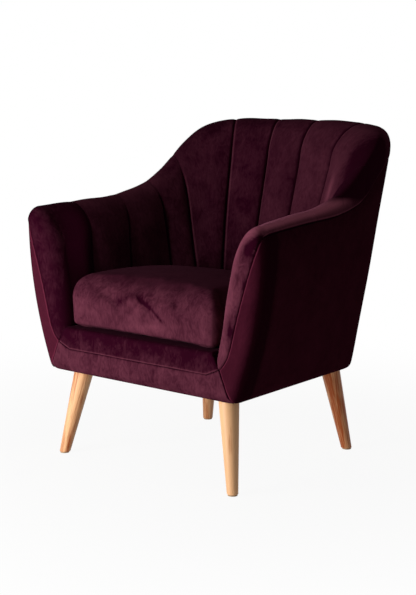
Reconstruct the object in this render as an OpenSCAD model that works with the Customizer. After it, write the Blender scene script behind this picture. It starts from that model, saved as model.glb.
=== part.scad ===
// Channel back armchair: timber frame, webbing, padded channels, loose seat cushion, four turned legs.
// Millimetres. +Z is up, the front faces -Y, X = 0 is the plane of symmetry, Z = 0 is the floor.

/* [Body] */
// Height of the back at its middle
back_h = 795; // [750:1:820]
// Height of the arms where their roll is lowest
arm_h = 601; // [575:1:620]
// Height of the covered body's underside
base_h = 208; // [190:1:225]
// Distance from the origin to the front face
front_d = 312.5; // [306:0.5:319]
// Distance from the origin to the outside of the back at the base
rear_d = 191.5; // [186:0.5:199]
// How far the outside of the back leans out, per millimetre of height
rear_rake = 0.225; // [0.2:0.005:0.24]
// Half width of the body at the base, at its front
front_hw = 294; // [285:1:305]
// Half width of the body at the base, at its rear corners
rear_hw = 246; // [242:1:254]
// How far each arm flares out between the base and the roll, at the front
arm_flare = 77; // [62:1:85]
// How far the rear corners flare out over the whole height
rear_flare = 50; // [40:1:54]
// Radius of the edge along the underside
base_round = 20; // [12:1:26]
// Radius of the arm's front edge, outside
outer_round = 31; // [26:1:38]
// Radius of the arm's front edge, inside
inner_round = 40; // [32:1:42]

/* [Seat space] */
// Half width between the arms at the deck, measured in the grooves
seat_hw = 237; // [234:1:244]
// Depth of the inside back's groove line behind the origin, at the cushion's top
seat_back_y = 150.5; // [147:0.5:155]
// Lean of the inside back, per millimetre of height
inner_rake = 0.25; // [0.22:0.01:0.28]
// Height of the deck's top
deck_top = 317; // [312:1:322]

/* [Channels] */
// How far a channel stands out from its grooves
puff = 12; // [6:1:14]
// Thickness of a channel's padding under its grooves
pad_t = 22; // [16:1:24]
// Thickness of the outside covers with their wadding
cover_t = 6; // [4:0.5:8]
// Gap between sewn pieces
sew_gap = 0.4; // [0.3:0.1:0.8]

/* [Cushion] */
// Gap between the cushion and the grooves beside it
cushion_side_gap = 7; // [5:0.5:13]
// Height of the cushion above the deck, at its sides
cushion_h = 120; // [105:1:125]
// Height of the cushion's crown above its sides
cushion_crown = 12; // [6:1:18]
// How far the cushion's top falls towards the back
cushion_fall = 24; // [10:1:30]
// How far the cushion's front lies behind the body's front face
cushion_set_back = 8; // [6.5:0.5:16]
// Gap between the cushion and the groove line behind it
cushion_back_gap = 34; // [32:0.5:42]
// Gap between the cushion and the deck it lies on
cushion_gap = 0.3; // [0.3:0.1:1]

/* [Legs] */
// How far in from the body's side a front foot stands
front_foot_in = 26; // [20:1:38]
// How far behind the front face a front foot stands
front_foot_back = 29; // [25:0.5:38]
// How far in from the body's rear corner a rear foot stands
rear_foot_in = 19; // [12:1:30]
// How far behind the back's base a rear foot stands
rear_foot_out = 4; // [-4:0.5:11]
// How far a front leg leans in, across and along
front_lean = [40, 33];
// How far a rear leg leans in, across and along
rear_lean = [34, 30];
// Diameter of a leg at its top
leg_top_d = 47; // [40:1:52]
// Diameter of a leg at its foot
leg_foot_d = 25; // [20:1:32]
// Height of the glide under each leg
glide_h = 3; // [2:0.5:5]

/* [Frame] */
// Thickness of the seat rails
rail_t = 25; // [20:1:28]
// Height of the seat rails
rail_h = 64; // [56:1:65]
// Thickness of the back posts
back_post_t = 28; // [22:1:30]

/* [Hidden] */
$fn = 48;

velvet = [0.24, 0.08, 0.13];
velvet_dark = [0.16, 0.05, 0.08];
beech = [0.85, 0.63, 0.42];
frame_wood = [0.78, 0.66, 0.46];
zinc = [0.72, 0.72, 0.70];

// The pole is the point that the back and the corners are set out from, by angle.
pole_y = 18.5;
// Along the arm a station is a distance in front of the pole, at this many millimetres to a degree.
mm_per_deg = 5.2;
front_t = -(front_d + pole_y) / mm_per_deg;
// Seat space
inner_flare = 0.075;
// Heights in the seat frame, from the bottom up
rail_z = base_h + cover_t + 0.4;
web_t = 1.6;
long_web_z = rail_z + rail_h;
cross_web_z = long_web_z + web_t;
deck_z = cross_web_z + web_t + 0.4;
back_ref_z = 416;
// Roll over the top edge: how deep it turns, inside and outside
roll_in = 83;
roll_out = 38;
// How much further down the inside turns over at the corners, and the outside at the rear corners
corner_roll = 50;
rear_corner_roll = 34;
// How far the crest lies in from the outside: beside the pole, at the front and at the back
crest_in = 16;
crest_in_front = 28.5;
crest_in_back = 41;
crest_n = 5.2;
roll_puff = 0.45;
front_droop = 5;
outer_n = 14;
core_drop = 40;

function clamp(v, a, b) = min(max(v, a), b);
function lerp(a, b, u) = a + (b - a) * u;
function smooth(u) = let (c = clamp(u, 0, 1)) c * c * (3 - 2 * c);
function reversed(list) = [for (i = [len(list) - 1:-1:0]) list[i]];
function tanh(x) = 1 - 2 / (exp(2 * x) + 1);

// Height of the crest: level along the arm, then an S up to the back.
rise_at = 22;
function crest_z(t) = let (s = t > 90 ? 180 - t : t, w = 10 - 5.2 * tanh((s - rise_at) / 45))
    arm_h + (back_h - arm_h) / (1 + exp(-(s - rise_at) / w))
    - roll_puff * puff - front_droop * pow(clamp((-25 - s) / 39, 0, 2), 2);

// Plan of one level: straight along the arm, then a superellipse of half width a and depth b.
function plan(t, a, b, n, slope, flare) =
    let (ph = clamp(t, 0, 180),
         r = pow(pow(abs(cos(ph)) / a, n) + pow(sin(ph) / b, n), -1 / n),
         y = pole_y + (t < 0 ? t * mm_per_deg : r * sin(ph)),
         x = t < 0 ? a : r * cos(ph))
    [x * (1 - slope * (y - pole_y) / a) + flare * pow(clamp((-23.5 - y) / 250, 0, 9), 2), y];

function ease(z) = 1 - pow(1 - clamp((z - base_h) / 354, 0, 1), 2);
front_ref_y = -288.5;
rear_ref_y = 246.5;
function side_slope(z) =
    (front_hw + arm_flare * ease(z) - rear_hw - rear_flare * (z - base_h) / (back_h - base_h))
    / (rear_ref_y - front_ref_y);
function side_at_pole(z) =
    front_hw + arm_flare * ease(z) - side_slope(z) * (pole_y - front_ref_y);
function rear_y(z) = rear_d + rear_rake * (z - base_h);
function seat_y(z) = seat_back_y + inner_rake * (z - back_ref_z);
function seat_x(z) = seat_hw + inner_flare * (z - deck_top);

// Towards its front the arm's inside leans out along with the front seam.
front_lean_z = deck_top + 17;
function front_out(t, z) = 0.145 * max(0, z - front_lean_z) * smooth((-42 - t) / 16);
function inner_pt(t, z) =
    plan(t, seat_x(z), seat_y(z) - pole_y, max(1.9, 2 + 0.0034 * (z - back_ref_z)), 0, 0)
    + [front_out(t, z), 0];
function outer_pt(t, z) = plan(t, side_at_pole(z), rear_y(z) - pole_y, outer_n, side_slope(z), 0);
crest_hw = side_at_pole(arm_h) - crest_in;
crest_back_y = rear_y(back_h) - crest_in_back;
crest_flare = (front_hw + arm_flare - crest_in_front - crest_hw) / 1.07;
function crest_pt(t) = plan(t, crest_hw, crest_back_y - pole_y, crest_n, 0, crest_flare);

// How far below the crest the inside (0) or the outside (1) begins to turn over.
function roll_depth(t, side) = let (s = t > 90 ? 180 - t : t)
    side == 0 ? roll_in - 8 * clamp((s - 5) / 25, 0, 1) + corner_roll * exp(-pow((s - 28) / 11, 2))
    : roll_out + rear_corner_roll * exp(-pow((s - 43) / 10, 2));

// A point of the shell at a station and height, on its inside (0) or its outside (1).
function shell_pt(t, z, side) =
    let (zc = crest_z(t), h = roll_depth(t, side),
         q = clamp((zc - z) / h, 0, 1), g = sqrt(1 - pow(1 - q, 2)),
         c = crest_pt(t), w = side == 0 ? inner_pt(t, z) : outer_pt(t, z),
         p = c + (w - c) * g)
    [p[0], t < 0 ? pole_y + t * mm_per_deg : p[1], z];

// The middle of the shell's thickness, which padding is measured towards.
function core_pt(t, z) =
    let (zz = min(z, crest_z(t) - core_drop), p = (inner_pt(t, zz) + outer_pt(t, zz)) / 2)
    [p[0], max(p[1], 40 - front_d), zz];

function sink(p, core, d) = let (v = core - p) p + v * min(d / norm(v), 0.85);

// Height of the outer seam, where the channels end and the outside covers begin.
function seam_drop(t) = let (s = t > 90 ? 180 - t : t)
    13 + 40 / (1 + exp(-(s - 2) / 9)) + 28 * exp(-pow((s - 26) / 12, 2));
function seam_z(t) = crest_z(t) - seam_drop(t);
// Channels start beside the deck. At the arm's front they start on top of the front border.
function channel_z0(t) = lerp(deck_z, deck_top, smooth((-48.5 - t) / 6));

// Rows of a channel: part of the way up the inside, then part of the way down to the outer seam.
inside_rows = [0, 0.2, 0.38, 0.54, 0.68, 0.79, 0.88, 0.94, 0.98, 1];
outside_rows = [0.1, 0.35, 0.7, 1];
row_n = len(inside_rows) + len(outside_rows);
function row_side(i) = i < len(inside_rows) ? 0 : 1;
function row_f(i) = i < len(inside_rows) ? inside_rows[i] : outside_rows[i - len(inside_rows)];
function row_rise(i) = row_side(i) == 0 ? row_f(i) : 1;
function row_z(t, i) = row_side(i) == 0
    ? lerp(channel_z0(t), crest_z(t), row_f(i))
    : crest_z(t) - seam_drop(t) * row_f(i);
// Padding is fullest half way up, pressed in behind the cushion and thinner over the roll.
function row_puff(t, i) = let (z = row_z(t, i), zc = crest_z(t)) puff * (row_side(i) == 0
    ? (0.3 + 0.7 * smooth((z - deck_top - 15) / 100)) * (0.45 + 0.55 * clamp((zc - z) / 80, 0, 1))
    : 0.45 * (1 - 0.7 * row_f(i)));

// Stations of the sewn grooves on the right-hand half, by how far up the groove.
function groove(k, rise) = k == 0 ? -42 : k == 1 ? -16.5
    : k == 2 ? 11 - 6 * pow(rise, 4)
    : k == 3 ? 25 - 2.5 * pow(rise, 4)
    : k == 4 ? 40 + 12 * rise
    : k == 5 ? 70.5 + 6.5 * rise
    : 180 - groove(5, rise);
swell_u = [0, 0.1, 0.3, 0.5, 0.7, 0.9, 1];
function swell(u) = 1 - pow(abs(2 * u - 1), 2.4);
// Half a sewing gap, as a share of a channel's width
gap_u = 0.0025;

function channel_pt(k, i, u, depth) =
    let (rise = row_rise(i),
         t = lerp(groove(k, rise), groove(k + 1, rise), gap_u + (1 - 2 * gap_u) * u),
         z = row_z(t, i), p = shell_pt(t, z, row_side(i)), core = core_pt(t, z))
    depth == 0 ? sink(p, core, -row_puff(t, i) * swell(u)) : sink(p, core, depth);

// A closed solid between two grids of the same size, the outer skin and the inner one.
module between(skin, lining) {
    rows = len(skin);
    cols = len(skin[0]);
    n = rows * cols;
    points = concat([for (r = skin) each r], [for (r = lining) each r]);
    function id(i, j) = i * cols + j;
    faces = concat(
        [for (i = [0:rows - 2], j = [0:cols - 2]) each
            [[id(i, j), id(i, j + 1), id(i + 1, j + 1)], [id(i, j), id(i + 1, j + 1), id(i + 1, j)],
             [n + id(i, j), n + id(i + 1, j + 1), n + id(i, j + 1)],
             [n + id(i, j), n + id(i + 1, j), n + id(i + 1, j + 1)]]],
        [for (i = [0:rows - 2], e = [0, cols - 1]) each let (a = id(i, e), b = id(i + 1, e))
            e == 0 ? [[a, b, n + b], [a, n + b, n + a]] : [[a, n + b, b], [a, n + a, n + b]]],
        [for (j = [0:cols - 2], e = [0, rows - 1]) each let (a = id(e, j), b = id(e, j + 1))
            e == 0 ? [[a, n + b, b], [a, n + a, n + b]] : [[a, b, n + b], [a, n + b, n + a]]]);
    polyhedron(points = points, faces = faces, convexity = 6);
}

module channel(k) {
    color(velvet) between(
        [for (i = [0:row_n - 1]) [for (u = swell_u) channel_pt(k, i, u, 0)]],
        [for (i = [0:row_n - 1]) [for (u = swell_u) channel_pt(k, i, u, pad_t)]]);
}

// Seam down the front of the arm: from the roll to the crossing over the front border, then the mitre.
cross_x = seat_hw + 15.7;
cross_z = deck_top - 36;
seam_top_z = arm_h - 28.5;
seam_lean = (front_hw + arm_flare - 10 - cross_x) / (seam_top_z - cross_z);
knee_z = base_h + base_round;
mitre_lean = (front_hw - 18 - cross_x) / (cross_z - knee_z);
function front_seam_x(z) = z >= cross_z
    ? cross_x + seam_lean * (z - cross_z) + 4 * sin(180 * clamp((z - cross_z) / 240, 0, 1))
    : cross_x + mitre_lean * (cross_z - z) + 0.09 * pow(max(0, knee_z - 1 - z), 2);

// How far behind the front face the seam lies, where it runs up on to the outer edge's rounding
function seam_back(z) = let (room = front_hw + arm_flare * ease(z) - front_seam_x(z),
                             short = clamp(outer_round - room, 0, outer_round - 1))
    outer_round - sqrt(outer_round * outer_round - short * short);

// The arm's front end: from the side wall round an edge of radius r, over the face to the seam.
function end_pt(e, m, d, r) =
    let (len = norm([m[0] - e[0], m[2] - e[2]]), s = min(d / len, 1),
         inset = min(d, r))
    [lerp(e[0], m[0], s), r - sqrt(r * r - pow(r - inset, 2)) - front_d, lerp(e[2], m[2], s)];

// Where a channel row and a cover row meet the front seam
turn_z = arm_h - 100.5;
fold_z = arm_h - 55.5;
function wrap_seam_z(i) = let (z = row_z(front_t, i))
    row_side(i) == 1 ? lerp(fold_z, seam_top_z, row_f(i))
    : z < turn_z ? lerp(cross_z, turn_z, (z - deck_top) / (turn_z - deck_top))
    : lerp(turn_z, fold_z, (z - turn_z) / (crest_z(front_t) - turn_z));

wrap_side_t = [0, 0.1, 0.35, 0.65, 0.88, 1];
wrap_edge_d = [0.12, 0.4, 0.75, 1];

// The edge's rounding goes over from the inner radius to the outer one around the roll.
function wrap_round(i) = lerp(inner_round, outer_round, smooth((row_rise(i) - 0.7) / 0.3));
function wrap_row(i, depth) =
    let (r = wrap_round(i), t1 = -(front_d + pole_y - r) / mm_per_deg,
         t0 = groove(0, 0) - 0.06,
         z1 = row_z(t1, i), e = shell_pt(t1, z1, row_side(i)),
         zm = wrap_seam_z(i), m = [front_seam_x(zm) - sew_gap, 0, zm],
         core1 = core_pt(t1, z1),
         core = [core1[0], 40 - front_d, core1[2]],
         room = norm([m[0] - e[0], m[2] - e[2]]), rr = min(r, room * 0.7))
    concat(
        [for (u = wrap_side_t) let (t = lerp(t0, t1, u), z = row_z(t, i),
             p = shell_pt(t, z, row_side(i)), c = core_pt(t, z),
             s = u < 0.5 ? swell(u) : 0.85 + 0.15 * swell(u))
             depth == 0 ? sink(p, c, -row_puff(t, i) * s * (1 - 0.3 * u)) : sink(p, c, depth)],
        [for (f = wrap_edge_d) let (p = end_pt(e, m, f * rr, r))
             depth == 0 ? sink(p, core, -row_puff(t1, i) * 0.6 * (1 - f)) : sink(p, core, depth)],
        [for (f = [0.5, 1]) let (p = end_pt(e, m, lerp(rr, room, f), r)
                                     + [0, seam_back(zm) * pow(f, 1.5), 0])
             depth == 0 ? (f < 1 ? p - [0, 3, 0] : p) : sink(p, [p[0], 40 - front_d, p[2]], depth - 1.2 * seam_back(zm))]);

module arm_wrap() {
    color(velvet) between([for (i = [0:row_n - 1]) reversed(wrap_row(i, 0))],
                          [for (i = [0:row_n - 1]) reversed(wrap_row(i, pad_t))]);
}

// Rows of an outside cover, from the outer seam down and round the bottom edge
cover_rows = [0, 0.1, 0.25, 0.45, 0.65, 0.85, 1];
bottom_rows = [[0.35, 0.06], [0.1, 0.35], [0, 1]];
cover_row_n = len(cover_rows) + len(bottom_rows);
function cover_z(t, i) = i < len(cover_rows)
    ? lerp(seam_z(t) - 6.5 * sew_gap, base_h + base_round, cover_rows[i])
    : base_h + base_round * bottom_rows[i - len(cover_rows)][0];
function cover_inset(i) = i < len(cover_rows) ? 0
    : base_round * bottom_rows[i - len(cover_rows)][1];

rear_seam_t = 45;
cover_t_list = [rear_seam_t - 0.05, 43.15, 41, 37.25, 31.3, 25.4, 20.75, 13.75, 6.75, -1.45, -14.35,
    -28, -42, -50, -56];

function cover_pt(t, i, depth) =
    let (z = cover_z(t, i), p = shell_pt(t, z, 1))
    sink(p, core_pt(t, z), cover_inset(i) + depth);

strip_turn_z = arm_h - 80.5;
function strip_seam_z(z) = z < strip_turn_z ? z
    : lerp(strip_turn_z, seam_top_z - 4.5, (z - strip_turn_z) / (seam_z(front_t) - strip_turn_z));

function strip_row(i, depth) =
    let (r = outer_round, t1 = -(front_d + pole_y - r) / mm_per_deg,
         z = cover_z(t1, i), e0 = shell_pt(t1, z, 1),
         e = sink(e0, core_pt(t1, z), cover_inset(i)),
         zm = strip_seam_z(z), mx = min(front_seam_x(zm) + sew_gap, e[0] - 3),
         m = [mx, 0, zm], room = norm([m[0] - e[0], m[2] - e[2]]), rr = min(r, room * 0.8),
         fall = cover_inset(i) * 0.5)
    concat([e + (depth == 0 ? [0, 0, 0] : sink([0, 0, 0], core_pt(t1, z) - e, depth))],
        [for (f = [0.12, 0.4, 0.75, 1]) let (p = end_pt(e, m, f * rr, r) + [0, fall, 0])
             depth == 0 ? p : sink(p, [m[0], 40 - front_d, max(zm, z)], depth)],
        [let (p = end_pt(e, m, room, r) + [0, fall, 0])
             depth == 0 ? p : p + [0, depth, 0]]);

module outside_arm() {
    rows = [0:cover_row_n - 1];
    color(velvet_dark) difference() {
        between(
            [for (i = rows) reversed(concat([for (t = cover_t_list) cover_pt(t, i, 0)], strip_row(i, 0)))],
            [for (i = rows) reversed(concat([for (t = cover_t_list) cover_pt(t, i, cover_t)],
                                            strip_row(i, cover_t)))]);
        // Cut round the rear leg
        along(leg_at(1, base_h - 10), leg_at(1, rail_z + 4), leg_top_d / 2 + 0.5, leg_top_d / 2 + 1);
    }
}

module outside_back() {
    rows = [0:cover_row_n - 1];
    stations = [rear_seam_t + 0.05, 50, 60, 75, 90, 105, 120, 130, 180 - rear_seam_t - 0.05];
    color(velvet_dark) between(
        [for (i = rows) [for (t = stations) cover_pt(t, i, 0)]],
        [for (i = rows) [for (t = stations) cover_pt(t, i, cover_t)]]);
}

module left() { mirror([1, 0, 0]) children(); }
module both() { children(); left() children(); }

// Front of the body under the cushion: a lower cover, and a border pad over the rail's top edge.
front_pad_t = 12;
border_z = deck_top - 51.5;
border_top_x = seat_hw - 5;
border_end_x = border_top_x - 16;
border_round = 18;
border_depth = 47;
// How far the rail cover turns in under the rail
turn_under = 27;
module front_outline_solid(points) {
    translate([0, -front_d, 0]) rotate([90, 0, 0]) translate([0, 0, -80])
        linear_extrude(height = 81) polygon(points);
}
// A profile drawn as [distance behind the front face, height], carried across the chair
module across(half_width) {
    translate([-half_width, -front_d, 0]) rotate([90, 0, 90])
        linear_extrude(height = 2 * half_width) children();
}
module front_rail_cover() {
    g = sew_gap;
    right = [[front_hw - 31, base_h], [front_hw - 18, base_h + 2], [front_hw - 12, base_h + 7],
             [front_seam_x(knee_z) - g, knee_z], [cross_x - g, cross_z - g],
             [border_end_x + g, border_z]];
    color(velvet) intersection() {
        front_outline_solid(concat(right, reversed([for (p = right) [-p[0], p[1]]])));
        across(front_hw) difference() {
            union() {
                translate([0, knee_z]) square([turn_under, deck_top - knee_z]);
                translate([base_round, base_h]) square([turn_under - base_round, base_round + 1]);
                translate([base_round, base_h + base_round]) circle(r = base_round);
            }
            translate([front_pad_t, rail_z - 0.2]) square([60, 200]);
        }
    }
}
module front_border_pad() {
    right = [[border_end_x - sew_gap, border_z + sew_gap], [cross_x - 2 * sew_gap, cross_z + sew_gap],
             [border_top_x - sew_gap, deck_top]];
    color(velvet) intersection() {
        front_outline_solid(concat(right, reversed([for (p = right) [-p[0], p[1]]])));
        across(front_hw) difference() {
            union() {
                translate([0, border_z]) square([border_depth, deck_top - border_round - border_z]);
                translate([border_round, border_z])
                    square([border_depth - border_round, deck_top - border_z]);
                translate([border_round, deck_top - border_round]) circle(r = border_round);
            }
            translate([front_pad_t, 0]) square([60, long_web_z + web_t + 0.4]);
        }
    }
}

// Seat deck: a felted foam slab on the webbing, cut to the channels' bottoms
deck_clear = 1;
function deck_pt(t) = let (z = deck_z, c = 0.3 * puff + deck_clear)
    plan(t, seat_x(z) - c, seat_y(z) - pole_y - c, 1.9, 0, 0);
module seat_deck() {
    front_y = border_depth + sew_gap - front_d;
    color([0.14, 0.12, 0.13]) translate([0, 0, deck_z]) linear_extrude(height = deck_top - deck_z)
        polygon(concat([[deck_pt(0)[0], front_y]], [for (t = [0:12:180]) deck_pt(t)],
                       [[-deck_pt(0)[0], front_y]]));
}

// The cushion fills the space between the arms
cushion_hw = seat_hw - cushion_side_gap;
cushion_front = front_d - cushion_set_back;
cushion_rear = seat_back_y - cushion_back_gap;
// Seat cushion: rings of [inset, share of the edge's drop], from the underside round to the top
cushion_z = deck_top + cushion_gap;
cushion_corner = 30;
cushion_rings = [[60, -1], [18, -1], [6, -0.965], [0.5, -0.87], [2, -0.62], [0, -0.4],
                 [2, 34], [9, 14], [20, 5], [38, 0], [70, 0], [115, 0]];
cushion_mid = [0, -93.5];
function cushion_edge() = let (w = cushion_hw, r = cushion_corner, f = -cushion_front) concat(
    [for (t = [0:12:180]) plan(t, w, cushion_rear - pole_y, 1.9, 0, 0)],
    [for (u = [0.35, 0.75]) [-w, lerp(pole_y, f + r, u)]],
    [for (a = [0:22.5:90]) [-w + r - r * cos(a), f + r - r * sin(a)]],
    [for (u = [0.17, 0.39, 0.61, 0.83]) [lerp(r - w, w - r, u), f]],
    [for (a = [90:-22.5:0]) [w - r + r * cos(a), f + r - r * sin(a)]],
    [for (u = [0.75, 0.35]) [w, lerp(pole_y, f + r, u)]]);
function cushion_top(p) = cushion_z + cushion_h
    - cushion_fall * pow(clamp((p[1] + 187.5) / 280, 0, 1.2), 2)
    + cushion_crown * (1 - pow(p[0] / cushion_hw, 2)) * max(0, 1 - pow((p[1] + 93.5) / 215, 2));
function cushion_ring_pt(e, ring) =
    let (front = smooth((-e[1] - 228.5) / 60), soft = 1 + 0.6 * front,
         v = e - cushion_mid, inset = ring[0] * (ring[1] > 0 ? soft : 1),
         p = e - v * min(0.9, inset / norm(v)), top = cushion_top(p))
    [p[0], p[1], ring[1] < 0 ? lerp(cushion_z, top, 1 + ring[1]) : top - ring[1] * soft];
module seat_cushion() {
    edge = cushion_edge();
    n = len(edge);
    rings = len(cushion_rings);
    points = concat([for (r = cushion_rings) each [for (e = edge) cushion_ring_pt(e, r)]],
                    [[cushion_mid[0], cushion_mid[1], cushion_z],
                     [cushion_mid[0], cushion_mid[1], cushion_top(cushion_mid)]]);
    last = (rings - 1) * n;
    color(velvet) polyhedron(convexity = 4, points = points, faces = concat(
        [for (k = [0:rings - 2], j = [0:n - 1]) each let (a = k * n + j, b = k * n + (j + 1) % n)
            [[a, b + n, b], [a, a + n, b + n]]],
        [for (j = [0:n - 1]) [rings * n, j, (j + 1) % n]],
        [for (j = [0:n - 1]) [rings * n + 1, last + (j + 1) % n, last + j]]));
}

// Timber seat frame
side_margin = 10;
front_rail_y = -front_d + front_pad_t + 0.3;
rear_rail_y = rear_y(rail_z) - cover_t - 2 - rail_t;
// The rear corner blocks take the rail ends, the rear legs and the back posts.
rear_block_x = rear_hw - 88;
rear_block_y = rear_rail_y - 38;
function rail_x(y) = side_at_pole(base_h) - side_slope(base_h) * (y - pole_y) - side_margin;
module plank(points, z, h) { translate([0, 0, z]) linear_extrude(height = h) polygon(points); }
module front_rail() {
    a = rail_x(front_rail_y) - 12;
    color(frame_wood) plank([[a, front_rail_y], [a, front_rail_y + rail_t],
                             [-a, front_rail_y + rail_t], [-a, front_rail_y]], rail_z, rail_h);
}
module rear_rail() {
    color(frame_wood) plank([[rear_block_x, rear_rail_y], [rear_block_x, rear_rail_y + rail_t],
                             [-rear_block_x, rear_rail_y + rail_t], [-rear_block_x, rear_rail_y]],
                            rail_z, rail_h);
}
side_rail_y = [front_rail_y + rail_t, rear_block_y];
module side_rail() {
    color(frame_wood) plank([for (p = [[0, 0], [0, 1], [1, 1], [1, 0]])
        [rail_x(side_rail_y[p[1]]) - p[0] * rail_t, side_rail_y[p[1]]]], rail_z, rail_h + web_t);
}

// Legs. Each is set out as [foot, lean], mirrored to the other side.
leg_spots = [
    [[front_hw - front_foot_in, front_foot_back - front_d], [-front_lean[0], front_lean[1]]],
    [[rear_hw - rear_foot_in, rear_d + rear_foot_out], [-rear_lean[0], -rear_lean[1]]]];
bolt_d = 8;
function leg_at(k, z) = let (f = leg_spots[k][0], l = leg_spots[k][1])
    [f[0] + l[0] * z / base_h, f[1] + l[1] * z / base_h, z];
module along(a, b, r1, r2) {
    v = b - a;
    translate(a) rotate([0, acos(v[2] / norm(v)), atan2(v[1], v[0])]) rotate([0, 0, 40])
        cylinder(h = norm(v), r1 = r1, r2 = r2);
}
module slab(z0, z1) { translate([-400, -400, z0]) cube([800, 800, z1 - z0]); }
module bolt_line(k, r, down, up) { along(leg_at(k, rail_z - down), leg_at(k, rail_z + up), r, r); }

// A shape turned about leg k's own line: its profile is [radius, distance along the line from the floor]
function up_leg(k, z) = z * norm(leg_at(k, 1) - leg_at(k, 0));
module turned(k, profile) {
    v = leg_at(k, 1) - leg_at(k, 0);
    translate(leg_at(k, 0)) rotate([0, acos(1 / norm(v)), atan2(v[1], v[0])]) rotate([0, 0, 40])
        rotate_extrude() polygon(profile);
}
bolt_in_leg = 40;
bore_clear = 0.15;
glide_pin_d = 3;
glide_pin_h = 11;
function leg_r(z) = (leg_foot_d + (leg_top_d - leg_foot_d) * z / base_h) / 2;
module leg(k) {
    bore = bolt_d / 2 + bore_clear;
    pin = glide_pin_d / 2 + 0.1;
    low = up_leg(k, -20);
    high = up_leg(k, rail_z + 20);
    bore_end = up_leg(k, rail_z - bolt_in_leg - 2);
    pin_end = up_leg(k, glide_h + glide_pin_h + 2);
    color(beech) intersection() {
        turned(k, [[pin, low], [leg_r(-20), low], [leg_r(rail_z + 20), high], [bore, high],
                   [bore, bore_end], [0, bore_end], [0, pin_end], [pin, pin_end]]);
        slab(glide_h, rail_z);
    }
}
module foot_glides() {
    color([0.15, 0.15, 0.15]) both() for (k = [0, 1]) {
        translate(leg_at(k, 0)) cylinder(h = glide_h, r = leg_foot_d / 2 - 1.5);
        along(leg_at(k, glide_h - 1), leg_at(k, glide_h + glide_pin_h), glide_pin_d / 2, glide_pin_d / 2);
    }
}
module hanger_bolts() {
    color(zinc) both() for (k = [0, 1]) bolt_line(k, bolt_d / 2, bolt_in_leg, rail_h - 2);
}

// Corner blocks, bored for the bolts, with a tee nut let into the top of each
nut_flange_d = 22;
nut_t = 1.5;
nut_barrel_d = 10;
nut_barrel_h = 12;
nut_clear = 0.1;
nut_z = rail_z + rail_h - 6;
module tee_nuts() {
    bore = bolt_d / 2 + nut_clear;
    color(zinc) both() for (k = [0, 1]) let (seat = up_leg(k, nut_z), foot = seat - nut_barrel_h)
        turned(k, [[bore, foot], [nut_barrel_d / 2, foot], [nut_barrel_d / 2, seat],
                   [nut_flange_d / 2, seat], [nut_flange_d / 2, seat + nut_t], [bore, seat + nut_t]]);
}
module nut_hole(k) {
    seat = up_leg(k, nut_z);
    foot = seat - nut_barrel_h - 1;
    low = up_leg(k, rail_z - 15);
    high = seat + 30;
    bore = bolt_d / 2 + bore_clear;
    wide = nut_barrel_d / 2 + nut_clear;
    turned(k, [[0, low], [bore, low], [bore, foot], [wide, foot], [wide, seat],
               [nut_flange_d / 2 + 1, seat], [nut_flange_d / 2 + 1, high], [0, high]]);
}
function block_outline(k) = let (c = leg_at(k, rail_z))
    k == 0 ? [[rail_x(side_rail_y[0]) - rail_t, side_rail_y[0]], [c[0] - 46, side_rail_y[0]],
              [c[0] - 46, side_rail_y[0] + 22], [c[0] - 26, c[1] + 30],
              [rail_x(c[1] + 30) - rail_t, c[1] + 30]]
    : [[rail_x(rear_block_y), rear_block_y], [rear_block_x + 22, rear_block_y],
       [rear_block_x, rear_block_y + 22], [rear_block_x, rear_rail_y + rail_t],
       [rail_x(rear_rail_y) - 32, rear_rail_y + rail_t], [rail_x(rear_rail_y - 18), rear_rail_y - 18]];
module corner_blocks() {
    color(frame_wood) both() for (k = [0, 1]) difference() {
        plank(block_outline(k), rail_z, rail_h);
        nut_hole(k);
    }
}

// Arm and back frame
post_t = 25;
post_t_mid = -(front_d + pole_y - pad_t - 16) / mm_per_deg;
post_zs = [for (f = [0, 0.22, 0.45, 0.67, 0.86, 1]) lerp(cross_web_z, fold_z - 2, f)];
module arm_post() {
    in = [for (z = post_zs) [shell_pt(post_t_mid, z, 0)[0] + pad_t + 8, z]];
    out = [for (z = post_zs) [shell_pt(post_t_mid, z, 1)[0] - cover_t - 14, z]];
    color(frame_wood) translate([0, post_back_y, 0]) rotate([90, 0, 0])
        linear_extrude(height = post_t) polygon(concat(in, reversed(out)));
}
post_back_y = -front_d + pad_t + 5.5 + post_t;
back_post_x = [rear_hw - 40, rear_hw - 12];
post_foot_y = rear_rail_y - 3;
post_lean = rear_rake + 0.005;
function post_y(z) = post_foot_y + post_lean * (z - long_web_z);
back_post_top = back_h - 85;
cross_rail_t = 20;
cross_rail_in = 6;
module leaning(x0, x1, z0, z1, y_off, t) {
    translate([x0, 0, 0]) rotate([90, 0, 90]) linear_extrude(height = x1 - x0)
        polygon([[post_y(z0) + y_off, z0], [post_y(z0) + y_off + t, z0],
                 [post_y(z1) + y_off + t, z1], [post_y(z1) + y_off, z1]]);
}
module back_post() {
    color(frame_wood) leaning(back_post_x[0], back_post_x[1], long_web_z, back_post_top, 0, back_post_t);
}
back_rail_z = deck_top + 13;
top_rail_h = 46;
low_rail_h = 44;
module back_cross_rail(z0, z1) {
    color(frame_wood) leaning(-back_post_x[0], back_post_x[0], z0, z1, cross_rail_in, cross_rail_t);
}
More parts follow.
